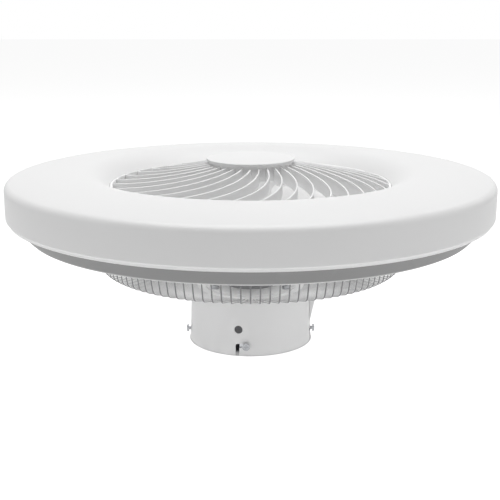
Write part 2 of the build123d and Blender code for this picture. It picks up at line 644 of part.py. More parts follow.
def hub_screws():
    """Screws that hold the hub on the motor."""
    screw = pan_screw(M4_SHANK, M4_HEAD, M4_HEAD_HEIGHT, HUB_THICK + MOTOR_SHELL - HOLE_PLAY)
    return hub_screw_places(Pos(0, 0, HUB_TOP) * screw)


def blade_section(radius, chord, pitch, thick):
    """Thin cambered outline across a blade, standing square to the front radius."""
    half = chord / 2
    rise = chord * BLADE_CAMBER
    upper = ThreePointArc((-half, 0, 0), (0, 0, rise), (half, 0, 0))
    lower = ThreePointArc((half, 0, -thick), (0, 0, rise - thick), (-half, 0, -thick))
    ends = [Line(upper @ 1, lower @ 0), Line(lower @ 1, upper @ 0)]
    outline = make_face([upper, ends[0], lower, ends[1]])
    level = BLADE_HEIGHT + (thick - rise) / 2
    return Pos(0, -radius, level) * Rot(0, -pitch, 0) * outline


def blade(index):
    """Twisted blade with the foot that is screwed on the hub."""
    tip_cut = BLADE_TIP_RADIUS + 2
    sections = [blade_section(HUB_RADIUS + 1, FOOT_WIDTH, 0, FOOT_THICK),
                blade_section(BLADE_ROOT_RADIUS, BLADE_ROOT_CHORD, BLADE_ROOT_PITCH, BLADE_THICK),
                blade_section(BLADE_WIDE_RADIUS, BLADE_WIDE_CHORD, BLADE_WIDE_PITCH, BLADE_THICK),
                blade_section(tip_cut, BLADE_TIP_CHORD, BLADE_TIP_PITCH, BLADE_THICK)]
    vane = loft(sections) & cylinder(BLADE_TIP_RADIUS, 0, 2 * BLADE_HEIGHT)
    foot = front_box(FOOT_WIDTH, FOOT_INNER, HUB_RADIUS + 3, HUB_TOP, FOOT_TOP)
    holes = blade_screw_places(cylinder(M4_SHANK + HOLE_PLAY, HUB_TOP - 1, FOOT_TOP + 1))
    return at_bearing(foot + vane - holes, 360 / BLADES * index)


def blade_screws():
    """Two screws in the foot of each blade."""
    screw = pan_screw(M4_SHANK, M4_HEAD, M4_HEAD_HEIGHT, FOOT_THICK + HUB_THICK - HOLE_PLAY)
    return blade_screw_places(Pos(0, 0, FOOT_TOP) * screw)


def tray_post_places(shape):
    """Copies of a post, screw or hole where the tray is held, clear of front and back."""
    pair = [Pos(0, -radius, 0) * shape for radius in TRAY_POST_CIRCLES]
    return [copy for item in pair for copy in repeated(item, TRAY_POSTS, 180 / TRAY_POSTS)]


def back_shell():
    """Shallow pan behind the light: flat floor, sloping wall, lip and the tray's posts."""
    inner_top = SHELL_CONE_TOP_RADIUS - SHELL_WALL_RUN
    slope = SHELL_CONE_RUN / (SHELL_LIP_BOTTOM - SHELL_FLOOR_HEIGHT)
    inner_floor = inner_top - slope * (SHELL_LIP_BOTTOM - SHELL_FLOOR_TOP)
    above = SHADE_FOOT_HEIGHT + 1
    outside = turned_polygon([(DUCT_RADIUS, SHELL_FLOOR_HEIGHT), (SHELL_FLOOR_RADIUS, SHELL_FLOOR_HEIGHT),
                              (SHELL_CONE_TOP_RADIUS, SHELL_LIP_BOTTOM), (SHELL_LIP_RADIUS, SHELL_LIP_BOTTOM),
                              (SHELL_LIP_RADIUS, SHADE_FOOT_HEIGHT), (DUCT_RADIUS, SHADE_FOOT_HEIGHT)])
    outside = fillet(rim_of(outside, SHELL_FLOOR_RADIUS, SHELL_FLOOR_HEIGHT), SHELL_EDGE_ROUND)
    hollow = turned_polygon([(DUCT_RADIUS - 1, SHELL_FLOOR_TOP), (inner_floor, SHELL_FLOOR_TOP),
                             (inner_top, SHELL_LIP_BOTTOM), (inner_top, above), (DUCT_RADIUS - 1, above)])
    pan = outside - hollow
    post = cylinder(TRAY_POST_RADIUS, SHELL_FLOOR_TOP - SHELL_THICK / 2, TRAY_HEIGHT)
    tapped = cylinder(M3_SHANK + SHAFT_FIT, SHELL_FLOOR_TOP, TRAY_HEIGHT + 1)
    holes = fixing_places(cylinder(M3_SHANK + HOLE_PLAY, GUARD_RING_BOTTOM, SHELL_FLOOR_TOP + 1))
    return pan + tray_post_places(post) - [*tray_post_places(tapped), *holes]


def air_duct():
    """Round duct about the blades, with a flange on the shell floor and one under the shade."""
    tube = ring(DUCT_RADIUS, DUCT_RADIUS + DUCT_WALL, SHELL_FLOOR_TOP, DUCT_TOP_HEIGHT)
    low_outer = GUARD_RING_RADIUS + GUARD_RING_WIDTH / 2
    low = ring(DUCT_RADIUS, low_outer, SHELL_FLOOR_TOP, SHELL_FLOOR_TOP + DUCT_FLANGE)
    high = ring(DUCT_RADIUS, DUCT_FLANGE_OUTER, DUCT_TOP_HEIGHT - DUCT_FLANGE, DUCT_TOP_HEIGHT)
    tapped = cylinder(M3_SHANK + SHAFT_FIT, SHELL_FLOOR_TOP - 1, SHELL_FLOOR_TOP + DUCT_FLANGE + 1)
    return tube + [low, high] - fixing_places(tapped)


def led_tray():
    """Flat steel ring on the shell's posts that carries the light boards."""
    tray = ring(TRAY_INNER, TRAY_OUTER, TRAY_HEIGHT, TRAY_TOP)
    post_holes = tray_post_places(cylinder(M3_SHANK + HOLE_PLAY, TRAY_HEIGHT - 1, TRAY_TOP + 1))
    board_holes = board_screw_places(cylinder(M3_SHANK + SHAFT_FIT, TRAY_HEIGHT - 1, TRAY_TOP + 1))
    return tray - [*post_holes, *board_holes]


def tray_screws():
    """Screws down through the tray into the shell's posts."""
    screw = pan_screw(M3_SHANK, M3_HEAD, M3_HEAD_HEIGHT, TRAY_THICK + 4 * M3_SHANK)
    return tray_post_places(Pos(0, 0, TRAY_TOP) * screw)


def board_screw_places(shape):
    """Copies of a screw or its hole along the middle of each light board."""
    placed = Pos(0, -BOARD_INNER - BOARD_WIDTH / 2, 0) * shape
    return repeated(placed, BOARDS * BOARD_SCREWS, 180 / (BOARDS * BOARD_SCREWS))


def led_boards():
    """Curved light boards laid end to end round the tray."""
    half = 180 / BOARDS - BOARD_GAP_ANGLE / 2
    holes = board_screw_places(cylinder(M3_SHANK + HOLE_PLAY, TRAY_TOP - 1, BOARD_TOP + 1))
    boards = []
    for index in range(BOARDS):
        middle = 360 / BOARDS * (index + 0.5)
        board = ring_sector(BOARD_INNER, BOARD_INNER + BOARD_WIDTH, middle - half, middle + half, TRAY_TOP, BOARD_TOP)
        boards.append(board - holes)
    return boards


def board_screws():
    """Screws that hold the light boards on the tray."""
    screw = pan_screw(M3_SHANK, M3_HEAD, M3_HEAD_HEIGHT, BOARD_THICK + TRAY_THICK + THREAD_TAIL)
    return board_screw_places(Pos(0, 0, BOARD_TOP) * screw)


def led_chips():
    """Two rows of light chips on every board, between the board's screws."""
    chip = Box(CHIP_LENGTH, CHIP_WIDTH, CHIP_HEIGHT, align=(Align.CENTER, Align.CENTER, Align.MIN))
    chips = []
    for row in range(CHIP_ROWS):
        radius = BOARD_INNER + BOARD_WIDTH * (2 * row + 1) / (2 * CHIP_ROWS)
        placed = Pos(0, -radius, BOARD_TOP) * chip
        count = BOARDS * CHIPS_PER_ROW
        chips += repeated(placed, count, 180 / count)
    return chips


def led_driver():
    """Closed box of the light's power supply, on the shell floor at the back."""
    box = Box(DRIVER_LENGTH, DRIVER_WIDTH, DRIVER_HEIGHT, align=(Align.CENTER, Align.CENTER, Align.MIN))
    box = fillet(box.edges().filter_by(Axis.Z), DRIVER_CORNER)
    box = fillet(box.edges().group_by(Axis.Z)[-1], DRIVER_CORNER / 2)
    middle = (GUARD_RING_RADIUS + GUARD_RING_WIDTH / 2 + SHELL_FLOOR_RADIUS) / 2
    return Pos(0, middle, SHELL_FLOOR_TOP) * box


def shade_face_height(radius, inset):
    """Height of the shade's crowned face, or of its inside when inset by the wall.

    The face is two arcs that meet level at the crest: a flat one out to the edge and a
    tighter one in to the mouth.
    """
    run, drop = SHADE_RADIUS - SHADE_CREST_RADIUS, SHADE_CREST_HEIGHT - SHADE_EDGE_HEIGHT
    if radius < SHADE_CREST_RADIUS:
        run, drop = SHADE_CREST_RADIUS - SHADE_MOUTH_RADIUS, SHADE_CREST_HEIGHT - SHADE_MOUTH_HEIGHT
    arc = (run * run + drop * drop) / (2 * drop)
    across = radius - SHADE_CREST_RADIUS
    return SHADE_CREST_HEIGHT - arc + math.sqrt((arc - inset) ** 2 - across ** 2)


def shade_block(inset):
    """Solid ring under the shade's face, its walls and face moved in by the inset."""
    outer = SHADE_RADIUS - inset
    inner = SHADE_MOUTH_RADIUS + inset
    stops = [inner, (inner + SHADE_CREST_RADIUS) / 2, SHADE_CREST_RADIUS, (outer + SHADE_CREST_RADIUS) / 2, outer]
    face = [Vector(radius, 0, shade_face_height(radius, inset)) for radius in stops]
    low_outer = Vector(outer, 0, SHADE_FOOT_HEIGHT)
    low_inner = Vector(inner, 0, SHADE_FOOT_HEIGHT)
    block = turned([ThreePointArc(*face[:3]), ThreePointArc(*face[2:]), Line(face[4], low_outer),
                    Line(low_outer, low_inner), Line(low_inner, face[0])])
    return fillet(rim_of(block, outer, face[4].Z), SHADE_EDGE_ROUND - inset)


def light_shade():
    """Opal ring shade: crowned face, outer wall on a foot with a spigot, and inner wall."""
    block = shade_block(0)
    block = fillet(rim_of(block, SHADE_RADIUS, SHADE_FOOT_HEIGHT), SHADE_FOOT_ROUND)
    block = fillet(rim_of(block, SHADE_MOUTH_RADIUS, SHADE_MOUTH_HEIGHT), SHADE_MOUTH_ROUND)
    spigot_bottom = SHELL_LIP_BOTTOM + LOOSE_GAP
    foot = block & ring(SPIGOT_INNER, SHADE_RADIUS + 1, SHADE_FOOT_HEIGHT - 1, SHADE_FOOT_HEIGHT + SHADE_FOOT_THICK)
    spigot = ring(SPIGOT_INNER, SPIGOT_OUTER, spigot_bottom, SHADE_FOOT_HEIGHT + SHADE_FOOT_THICK / 2)
    duct_side = cylinder(SHADE_MOUTH_RADIUS + 2 * SHADE_THICK, 0, DUCT_TOP_HEIGHT)
    return block - [shade_block(SHADE_THICK), duct_side] + [foot, spigot]


def front_grille():
    """Swirl grille: hub cup, curved slats and the rim that stands on the duct."""
    hub_bottom = slat_top(GRILLE_HUB_RADIUS) - GRILLE_HUB_DEPTH
    hub = cylinder(GRILLE_HUB_RADIUS, hub_bottom, CAP_UNDERSIDE)
    well = cylinder(GRILLE_HUB_RADIUS - GRILLE_HUB_WALL, hub_bottom + GRILLE_HUB_WALL, CAP_UNDERSIDE + 1)
    rim = turned_polygon([(GRILLE_RIM_INNER, DUCT_TOP_HEIGHT), (GRILLE_RIM_OUTER, DUCT_TOP_HEIGHT),
                          (GRILLE_RIM_OUTER, slat_top(GRILLE_RIM_OUTER)),
                          (GRILLE_RIM_INNER, slat_top(GRILLE_RIM_INNER))])
    return hub - well + [rim, *repeated(grille_slat(), GRILLE_SLATS)]


def grille_slat():
    """One slat, an arc in plan that leaves the hub nearly straight and sweeps back."""
    near = GRILLE_HUB_RADIUS - GRILLE_HUB_WALL / 2
    far = GRILLE_RIM_INNER + GRILLE_RIM_WALL / 2
    sweeps = [(near, 0), ((near + far) / 2, SLAT_MIDDLE_SWEEP), (far, SLAT_END_SWEEP)]
    level = slat_top(far)
    points = []
    for radius, sweep_back in sweeps:
        angle = math.radians(-sweep_back)
        points.append((radius * math.sin(angle), -radius * math.cos(angle), level))
    route = ThreePointArc(*points)
    heading = route % 0
    sideways = Vector(-heading.Y, heading.X, 0)
    section = Plane(origin=route @ 0, x_dir=sideways, z_dir=heading) * Rectangle(SLAT_THICK, 4 * SLAT_DEPTH)
    band = sweep(section, path=route)
    depth_zone = turned_polygon([(near - 2, slat_top(near - 2)), (far + 2, slat_top(far + 2)),
                                 (far + 2, slat_top(far + 2) - SLAT_DEPTH), (near - 2, slat_top(near - 2) - SLAT_DEPTH)])
    return band & depth_zone & ring(near, far, 0, CAP_UNDERSIDE)


def centre_cap():
    """Shallow domed cap with a spigot in the grille's hub."""
    rim_top = CAP_UNDERSIDE + CAP_RIM_THICK
    crown = rim_top + CAP_DOME_RISE
    spigot_outer = GRILLE_HUB_RADIUS - GRILLE_HUB_WALL - LOOSE_GAP
    spigot_inner = spigot_outer - CAP_WALL
    spigot_bottom = CAP_UNDERSIDE - CAP_SPIGOT_DEPTH
    middle = crown - CAP_DOME_RISE / 4
    dome = turned([ThreePointArc((0, 0, crown), (CAP_RADIUS / 2, 0, middle), (CAP_RADIUS, 0, rim_top)),
                   Line((CAP_RADIUS, 0, rim_top), (CAP_RADIUS, 0, CAP_UNDERSIDE)),
                   Line((CAP_RADIUS, 0, CAP_UNDERSIDE), (0, 0, CAP_UNDERSIDE)),
                   Line((0, 0, CAP_UNDERSIDE), (0, 0, crown))])
    dome = fillet(rim_of(dome, CAP_RADIUS, rim_top), CAP_RIM_THICK / 3)
    spigot = ring(spigot_inner, spigot_outer, spigot_bottom, CAP_UNDERSIDE + CAP_RIM_THICK / 2)
    well = cylinder(spigot_inner, CAP_UNDERSIDE - 1, rim_top - CAP_WALL / 2)
    return dome - well + spigot


PIECES = (ceiling_bracket, canopy_screws, control_box, terminal_block, ceiling_canopy, receiver_window,
          canopy_stay, guard_plate, guard_wires, guard_ring, fixing_screws, motor_stem, stem_bolts, stem_nuts,
          motor_shaft, lower_bearing, upper_bearing, stator_core, stator_windings, rotor_yoke, rotor_magnets,
          motor_lower_cover, motor_upper_cover, motor_screws, fan_hub, hub_screws, blade_screws, back_shell,
          air_duct, led_tray, tray_screws, led_boards, board_screws, led_chips, led_driver, light_shade,
          front_grille, centre_cap)

for piece in PIECES:
    save(piece.__name__, piece())
for number in range(BLADES):
    save(f"blade_{number + 1}", blade(number))
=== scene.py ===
# %% [markdown]
# # A low ceiling fan with a ring light
# The fan stands upside down on its ceiling canopy, as it was photographed: a wide opal ring, a swirl
# grille with a round cap in its mouth, a sloping pan and a wire guard below, and a steel drum as foot.
# We load the finished construction as a fixed frame, and dress it. Every piece keeps to that frame, in
# metres, so nothing has to be fitted by eye. The wide round pieces show facets when they come straight
# from a construction model, so those are drawn again here as smooth surfaces at the same sizes.

# %% Load the frame
import json
import math
import bpy
import numpy as np
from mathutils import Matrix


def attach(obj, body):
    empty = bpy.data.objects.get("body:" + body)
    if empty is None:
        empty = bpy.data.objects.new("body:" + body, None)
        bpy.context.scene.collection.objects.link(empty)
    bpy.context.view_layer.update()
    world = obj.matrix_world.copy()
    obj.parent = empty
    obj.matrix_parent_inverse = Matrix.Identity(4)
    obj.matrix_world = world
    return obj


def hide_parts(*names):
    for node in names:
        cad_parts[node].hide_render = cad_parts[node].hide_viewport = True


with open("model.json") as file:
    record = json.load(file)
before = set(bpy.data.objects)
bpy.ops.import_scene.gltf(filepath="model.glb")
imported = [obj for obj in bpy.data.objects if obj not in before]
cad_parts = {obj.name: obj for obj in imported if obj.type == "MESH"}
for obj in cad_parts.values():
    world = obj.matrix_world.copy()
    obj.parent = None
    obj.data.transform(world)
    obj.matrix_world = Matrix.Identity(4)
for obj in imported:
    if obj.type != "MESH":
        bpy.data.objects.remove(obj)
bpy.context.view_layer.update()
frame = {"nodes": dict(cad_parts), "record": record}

# %% [markdown]
# ## The camera first
# The view sits a little above the ring and looks down on it by fourteen degrees. Its distance, height
# and focal length were fitted to the ellipses of ring, lip, pan and drum, so the outlines fall in place
# without moving the object. The focal length is held in pixels of the photograph and turned into
# millimetres of a 36 mm sensor.

# %% Make the camera
PHOTO_SIDE = 500
FOCAL_PIXELS = 963.3
AXIS_PIXEL = 250.6
CAMERA_BACK = 1.150
CAMERA_HEIGHT = 0.3991
CAMERA_DIP = 14.08

scene = bpy.context.scene
camera_data = bpy.data.cameras.new("camera")
camera_data.sensor_width = 36.0
camera_data.lens = FOCAL_PIXELS * camera_data.sensor_width / PHOTO_SIDE
camera_data.shift_x = (PHOTO_SIDE / 2 - AXIS_PIXEL) / PHOTO_SIDE
camera = bpy.data.objects.new("camera", camera_data)
camera.location = (0.0, -CAMERA_BACK, CAMERA_HEIGHT)
camera.rotation_euler = (math.radians(90 - CAMERA_DIP), 0.0, 0.0)
scene.collection.objects.link(camera)
scene.camera = camera
print("lens", round(camera_data.lens, 1), "mm")

# %% [markdown]
# ## Plain level light
# A white object on white needs soft light from above and weaker light from both sides, so that the face
# of the ring is nearly white and its wall a light grey; the pan below is darker still, mostly from painted
# shade on its slope. The world gives the rest. What the camera, a reflection or a clear piece sees of the
# world is white at a strength of one, while the light that the world gives is its own, lower value.

# %% Light the set
def area_lamp(name, place, target, side, watts):
    """A square soft lamp at a place that faces a target."""
    data = bpy.data.lights.new(name, "AREA")
    data.size = side
    data.energy = watts
    lamp = bpy.data.objects.new(name, data)
    aim = np.array(target) - np.array(place)
    lamp.location = place
    tilt = math.atan2(math.hypot(aim[0], aim[1]), -aim[2])
    lamp.rotation_euler = (tilt, 0.0, math.atan2(-aim[0], aim[1]))
    scene.collection.objects.link(lamp)
    print("lamp", name, watts, "W")


area_lamp("top_softbox", (0.0, 0.0, 2.2), (0.0, 0.0, 0.2), 2.2, 48.0)
area_lamp("left_softbox", (-2.0, -0.9, 0.5), (0.0, 0.0, 0.15), 1.2, 2.6)
area_lamp("right_softbox", (2.0, -0.7, 0.5), (0.0, 0.0, 0.15), 1.2, 3.6)

# %% Two node helpers
def math_node(tree, operation, first_input, second_input):
    """A math node; an input is a socket to link or a number to set."""
    node = tree.nodes.new("ShaderNodeMath")
    node.operation = operation
    for slot, value in enumerate((first_input, second_input)):
        if isinstance(value, (int, float)):
            node.inputs[slot].default_value = value
        else:
            tree.links.new(value, node.inputs[slot])
    return node.outputs[0]


def ramp_node(tree, value, low, high):
    """Takes a value from low..high to 0..1 and holds it there."""
    node = tree.nodes.new("ShaderNodeMapRange")
    node.inputs["From Min"].default_value = low
    node.inputs["From Max"].default_value = high
    tree.links.new(value, node.inputs["Value"])
    return node.outputs["Result"]


# %% Set the world
WORLD_LIGHT = 0.08

world = bpy.data.worlds.new("studio")
world.use_nodes = True
scene.world = world
nodes, links = world.node_tree.nodes, world.node_tree.links
nodes.clear()
seen = nodes.new("ShaderNodeBackground")
seen.inputs["Strength"].default_value = 1.0
given = nodes.new("ShaderNodeBackground")
given.inputs["Strength"].default_value = WORLD_LIGHT
for background in (seen, given):
    background.inputs["Color"].default_value = (1.0, 1.0, 1.0, 1.0)
path = nodes.new("ShaderNodeLightPath")
mix = nodes.new("ShaderNodeMixShader")
out = nodes.new("ShaderNodeOutputWorld")
straight = math_node(world.node_tree, "MAXIMUM", path.outputs["Is Camera Ray"], path.outputs["Is Glossy Ray"])
straight = math_node(world.node_tree, "MAXIMUM", straight, path.outputs["Is Transmission Ray"])
links.new(straight, mix.inputs[0])
links.new(given.outputs[0], mix.inputs[1])
links.new(seen.outputs[0], mix.inputs[2])
links.new(mix.outputs[0], out.inputs[0])
print("world light", WORLD_LIGHT)

# %% [markdown]
# ## The floor
# The photograph's ground is plain white with no edge, and it throws light up under the ring. A wide
# matt plane takes the shadow under the drum and gives some light of its own, a little more of it to the
# camera, which lifts it to white. The round spot that the drum covers gives much less, so the slot in
# the drum's wall stays dark.

# %% Lay the floor
FLOOR_HALF = 12.0
FLOOR_GLOW = 0.66
FLOOR_GLOW_SEEN = 0.26
FOOT_CLEAR = 0.076
FOOT_SHARE = 0.30
FLOOR_GREY = 0.45

floor_mesh = bpy.data.meshes.new("floor")
corners = [(-FLOOR_HALF, -FLOOR_HALF, 0.0), (FLOOR_HALF, -FLOOR_HALF, 0.0),
           (FLOOR_HALF, FLOOR_HALF, 0.0), (-FLOOR_HALF, FLOOR_HALF, 0.0)]
floor_mesh.from_pydata(corners, [], [(0, 1, 2, 3)])
floor = bpy.data.objects.new("floor", floor_mesh)
scene.collection.objects.link(floor)
floor_paint = bpy.data.materials.new("floor_paint")
floor_paint.use_nodes = True
floor_tree = floor_paint.node_tree
matt = floor_tree.nodes["Principled BSDF"]
matt.inputs["Base Color"].default_value = (FLOOR_GREY, FLOOR_GREY, FLOOR_GREY, 1.0)
matt.inputs["Roughness"].default_value = 1.0
matt.inputs["Specular IOR Level"].default_value = 0.0
matt.inputs["Emission Color"].default_value = (1.0, 1.0, 1.0, 1.0)
floor_path = floor_tree.nodes.new("ShaderNodeLightPath")
seen_glow = math_node(floor_tree, "MULTIPLY", floor_path.outputs["Is Camera Ray"], FLOOR_GLOW_SEEN)
glow = math_node(floor_tree, "ADD", seen_glow, FLOOR_GLOW)
floor_place = floor_tree.nodes.new("ShaderNodeTexCoord")
from_axis = floor_tree.nodes.new("ShaderNodeVectorMath")
from_axis.operation = "LENGTH"
floor_tree.links.new(floor_place.outputs["Object"], from_axis.inputs[0])
outside_foot = math_node(floor_tree, "GREATER_THAN", from_axis.outputs["Value"], FOOT_CLEAR)
glow_share = math_node(floor_tree, "MAXIMUM", outside_foot, FOOT_SHARE)
floor_tree.links.new(math_node(floor_tree, "MULTIPLY", glow, glow_share), matt.inputs["Emission Strength"])
floor.data.materials.append(floor_paint)
print("floor", 2 * FLOOR_HALF, "m")

# %% [markdown]
# ## Shared surface effects
# Three small node groups serve all finishes. *Moulded grain* gives the fine height of a spark-eroded
# mould or a powder coat, and a broad soft mottle. *Handled edges* finds the convex edges, which polish
# first. *Settled dust* marks surfaces that face up. Each puts out only values, so the shader itself stays
# in every material, where its own numbers can be read.

# %% More node helpers
def new_group(name, inputs, outputs):
    """An empty shader group with named sockets: inputs as (name, kind, default), outputs as names."""
    group = bpy.data.node_groups.new(name, "ShaderNodeTree")
    for title, kind, default in inputs:
        socket = group.interface.new_socket(title, in_out="INPUT", socket_type=kind)
        if default is not None:
            socket.default_value = default
    for title in outputs:
        group.interface.new_socket(title, in_out="OUTPUT", socket_type="NodeSocketFloat")
    return group, group.nodes.new("NodeGroupInput"), group.nodes.new("NodeGroupOutput")


def noise_node(tree, vector, scale, detail):
    """A noise texture read at a vector; scale is a socket or a number."""
    node = tree.nodes.new("ShaderNodeTexNoise")
    node.inputs["Detail"].default_value = detail
    tree.links.new(vector, node.inputs["Vector"])
    if isinstance(scale, (int, float)):
        node.inputs["Scale"].default_value = scale
    else:
        tree.links.new(scale, node.inputs["Scale"])
    return node.outputs["Fac"]


# %% The three groups
grain, grain_in, grain_out = new_group(
    "moulded_grain", [("Vector", "NodeSocketVector", None), ("Grain Scale", "NodeSocketFloat", 900.0),
                      ("Mottle Scale", "NodeSocketFloat", 9.0)], ["Height", "Mottle"])
fine = noise_node(grain, grain_in.outputs["Vector"], grain_in.outputs["Grain Scale"], 2.0)
broad = noise_node(grain, grain_in.outputs["Vector"], grain_in.outputs["Mottle Scale"], 3.0)
grain.links.new(fine, grain_out.inputs["Height"])
grain.links.new(ramp_node(grain, broad, 0.35, 0.65), grain_out.inputs["Mottle"])

edges, edges_in, edges_out = new_group(
    "handled_edges", [("Vector", "NodeSocketVector", None), ("Low", "NodeSocketFloat", 0.53)], ["Edge"])
shape = edges.nodes.new("ShaderNodeNewGeometry")
lifted = math_node(edges, "SUBTRACT", shape.outputs["Pointiness"], edges_in.outputs["Low"])
sharp = ramp_node(edges, lifted, 0.0, 0.06)
patchy = ramp_node(edges, noise_node(edges, edges_in.outputs["Vector"], 60.0, 3.0), 0.3, 0.6)
edges.links.new(math_node(edges, "MULTIPLY", sharp, patchy), edges_out.inputs["Edge"])

dust, dust_in, dust_out = new_group(
    "settled_dust", [("Vector", "NodeSocketVector", None), ("Amount", "NodeSocketFloat", 0.1)], ["Dust"])
facing = dust.nodes.new("ShaderNodeNewGeometry")
split = dust.nodes.new("ShaderNodeSeparateXYZ")
dust.links.new(facing.outputs["Normal"], split.inputs[0])
upward = ramp_node(dust, split.outputs["Z"], 0.55, 1.0)
specks = ramp_node(dust, noise_node(dust, dust_in.outputs["Vector"], 240.0, 4.0), 0.45, 0.75)
layer = math_node(dust, "MULTIPLY", upward, specks)
dust.links.new(math_node(dust, "MULTIPLY", layer, dust_in.outputs["Amount"]), dust_out.inputs["Dust"])
print("groups", grain.name, edges.name, dust.name)

# %% [markdown]
# ## One recipe for a finish
# Every finish follows one recipe: its colour shifts a little with the mottle, darkens under dust and
# lightens at edges; its roughness follows the mottle and the edges; and the grain drives a bump. What
# differs is the numbers, and for metals, windings and laminations one more pattern.

# %% The finish recipe
def tint(colour, factor):
    """A colour made lighter or darker by one factor, as red, green, blue and alpha."""
    return tuple(min(1.0, part * factor) for part in colour) + (1.0,)


def mix_colour(tree, mask, low, high):
    """Blends two colours, each a socket or four numbers, by a mask."""
    node = tree.nodes.new("ShaderNodeMix")
    node.data_type = "RGBA"
    tree.links.new(mask, node.inputs[0])
    for slot, value in ((6, low), (7, high)):
        if isinstance(value, tuple):
            node.inputs[slot].default_value = value
        else:
            tree.links.new(value, node.inputs[slot])
    return node.outputs[2]


def place_group(tree, group, vector, **values):
    """Puts a group in a material, reading object coordinates, with its own values."""
    node = tree.nodes.new("ShaderNodeGroup")
    node.node_tree = group
    tree.links.new(vector, node.inputs["Vector"])
    for title, value in values.items():
        node.inputs[title.replace("_", " ")].default_value = value
    return node


def finish(name, colour, rough, metal=0.0, grain_scale=900.0, grain_height=0.00002, mottle=0.03,
           dust_amount=0.08, pattern=None, stretch=(1.0, 1.0, 1.0)):
    """A procedural material; pattern(tree, vector) may return a mask that darkens."""
    material = bpy.data.materials.new(name)
    material.use_nodes = True
    tree = material.node_tree
    shader = tree.nodes["Principled BSDF"]
    shader.inputs["Metallic"].default_value = metal
    where = tree.nodes.new("ShaderNodeTexCoord")
    mapping = tree.nodes.new("ShaderNodeMapping")
    mapping.inputs["Scale"].default_value = stretch
    tree.links.new(where.outputs["Object"], mapping.inputs["Vector"])
    vector = mapping.outputs["Vector"]
    texture = place_group(tree, grain, vector, Grain_Scale=grain_scale, Mottle_Scale=9.0)
    edge = place_group(tree, edges, vector).outputs["Edge"]
    dirt = place_group(tree, dust, vector, Amount=dust_amount).outputs["Dust"]
    colour_now = mix_colour(tree, texture.outputs["Mottle"], tint(colour, 1.0 - mottle), tint(colour, 1.0))
    if pattern:
        mask = pattern(tree, vector)
        colour_now = mix_colour(tree, mask, colour_now, tint(colour, 0.55))
    colour_now = mix_colour(tree, edge, colour_now, tint(colour, 1.0 + 2 * mottle))
    colour_now = mix_colour(tree, dirt, colour_now, (0.52, 0.50, 0.47, 1.0))
    tree.links.new(colour_now, shader.inputs["Base Color"])
    softer = math_node(tree, "MULTIPLY", texture.outputs["Mottle"], 0.08)
    rough_now = math_node(tree, "ADD", softer, rough)
    tree.links.new(math_node(tree, "SUBTRACT", rough_now, math_node(tree, "MULTIPLY", edge, 0.08)),
                   shader.inputs["Roughness"])
    bump = tree.nodes.new("ShaderNodeBump")
    bump.inputs["Distance"].default_value = grain_height
    bump.inputs["Strength"].default_value = 1.0
    tree.links.new(texture.outputs["Height"], bump.inputs["Height"])
    tree.links.new(bump.outputs["Normal"], shader.inputs["Normal"])
    print("finish", name)
    return material


# %% [markdown]
# ## Patterns for metal and copper
# Rolled and plated steel has fine scratches along one direction, the motor's core is a stack of thin
# sheets, and a coil is rows of round wire. Each is a wave or a stretched noise in object coordinates.

# %% Patterns
def rubbed_lines(tree, vector):
    """Noise stretched along one axis: the fine lines that rolling and plating leave."""
    stretch = tree.nodes.new("ShaderNodeMapping")
    stretch.inputs["Scale"].default_value = (1.0, 1.0, 30.0)
    tree.links.new(vector, stretch.inputs["Vector"])
    lines = ramp_node(tree, noise_node(tree, stretch.outputs[0], 60.0, 4.0), 0.4, 0.8)
    return math_node(tree, "MULTIPLY", lines, 0.35)


def stacked_sheets(tree, vector):
    """Level stripes half a millimetre apart, as in a stack of stamped sheets."""
    wave = tree.nodes.new("ShaderNodeTexWave")
    wave.bands_direction = "Z"
    wave.inputs["Scale"].default_value = 320.0
    tree.links.new(vector, wave.inputs["Vector"])
    return ramp_node(tree, wave.outputs["Fac"], 0.6, 0.95)


def wound_wire(tree, vector):
    """Level stripes one wire apart, a little uneven, as the turns of a coil."""
    wave = tree.nodes.new("ShaderNodeTexWave")
    wave.bands_direction = "Z"
    wave.inputs["Scale"].default_value = 210.0
    wave.inputs["Distortion"].default_value = 0.6
    tree.links.new(vector, wave.inputs["Vector"])
    return ramp_node(tree, wave.outputs["Fac"], 0.55, 1.0)


# %% Finishes of the parts that show
opal = finish("opal_acrylic", (0.86, 0.86, 0.86), 0.34, grain_scale=500.0, grain_height=0.000004,
              mottle=0.012, dust_amount=0.02)
# The pan is white ABS: the dark grey of its slope is painted shade, and its lip and floor get their white
# back below.
pan_shaded_slope = finish("white_abs_pan_shaded_slope", (0.23, 0.23, 0.23), 0.46, grain_scale=1500.0, grain_height=0.000015,
                   mottle=0.02)
abs_white = finish("white_abs", (0.95, 0.95, 0.95), 0.42, grain_scale=1500.0, grain_height=0.00001,
                   mottle=0.02, dust_amount=0.03)
# The cap is white ABS like the grille; this darker copy is painted shade that holds back the strong top light
# on its dome.
cap_shaded_copy = finish("white_abs_cap_shaded", (0.86, 0.86, 0.86), 0.40, grain_scale=1500.0, grain_height=0.00001,
                   mottle=0.015, dust_amount=0.02)
blade_white = finish("white_abs_blade", (0.86, 0.86, 0.86), 0.40, grain_scale=1500.0, mottle=0.03)
steel_white = finish("white_steel", (0.92, 0.92, 0.92), 0.38, grain_scale=650.0, grain_height=0.00003,
                     mottle=0.02)
# The wires' dark grey is painted shade on their outward faces; their faces towards the axis are made white
# further down, as a painted reflection of the white shell.
wire_shade_and_reflection = finish("wire_painted_shade_and_reflection", (0.24, 0.24, 0.245), 0.36, grain_scale=700.0, mottle=0.05)
zinc = finish("zinc_steel", (0.52, 0.53, 0.55), 0.26, metal=1.0, mottle=0.12, pattern=rubbed_lines)
smoked = finish("dark_plastic", (0.10, 0.10, 0.105), 0.30, mottle=0.2)
stem_grey = finish("motor_steel", (0.34, 0.34, 0.35), 0.42, grain_scale=650.0, grain_height=0.00003,
                   mottle=0.06)
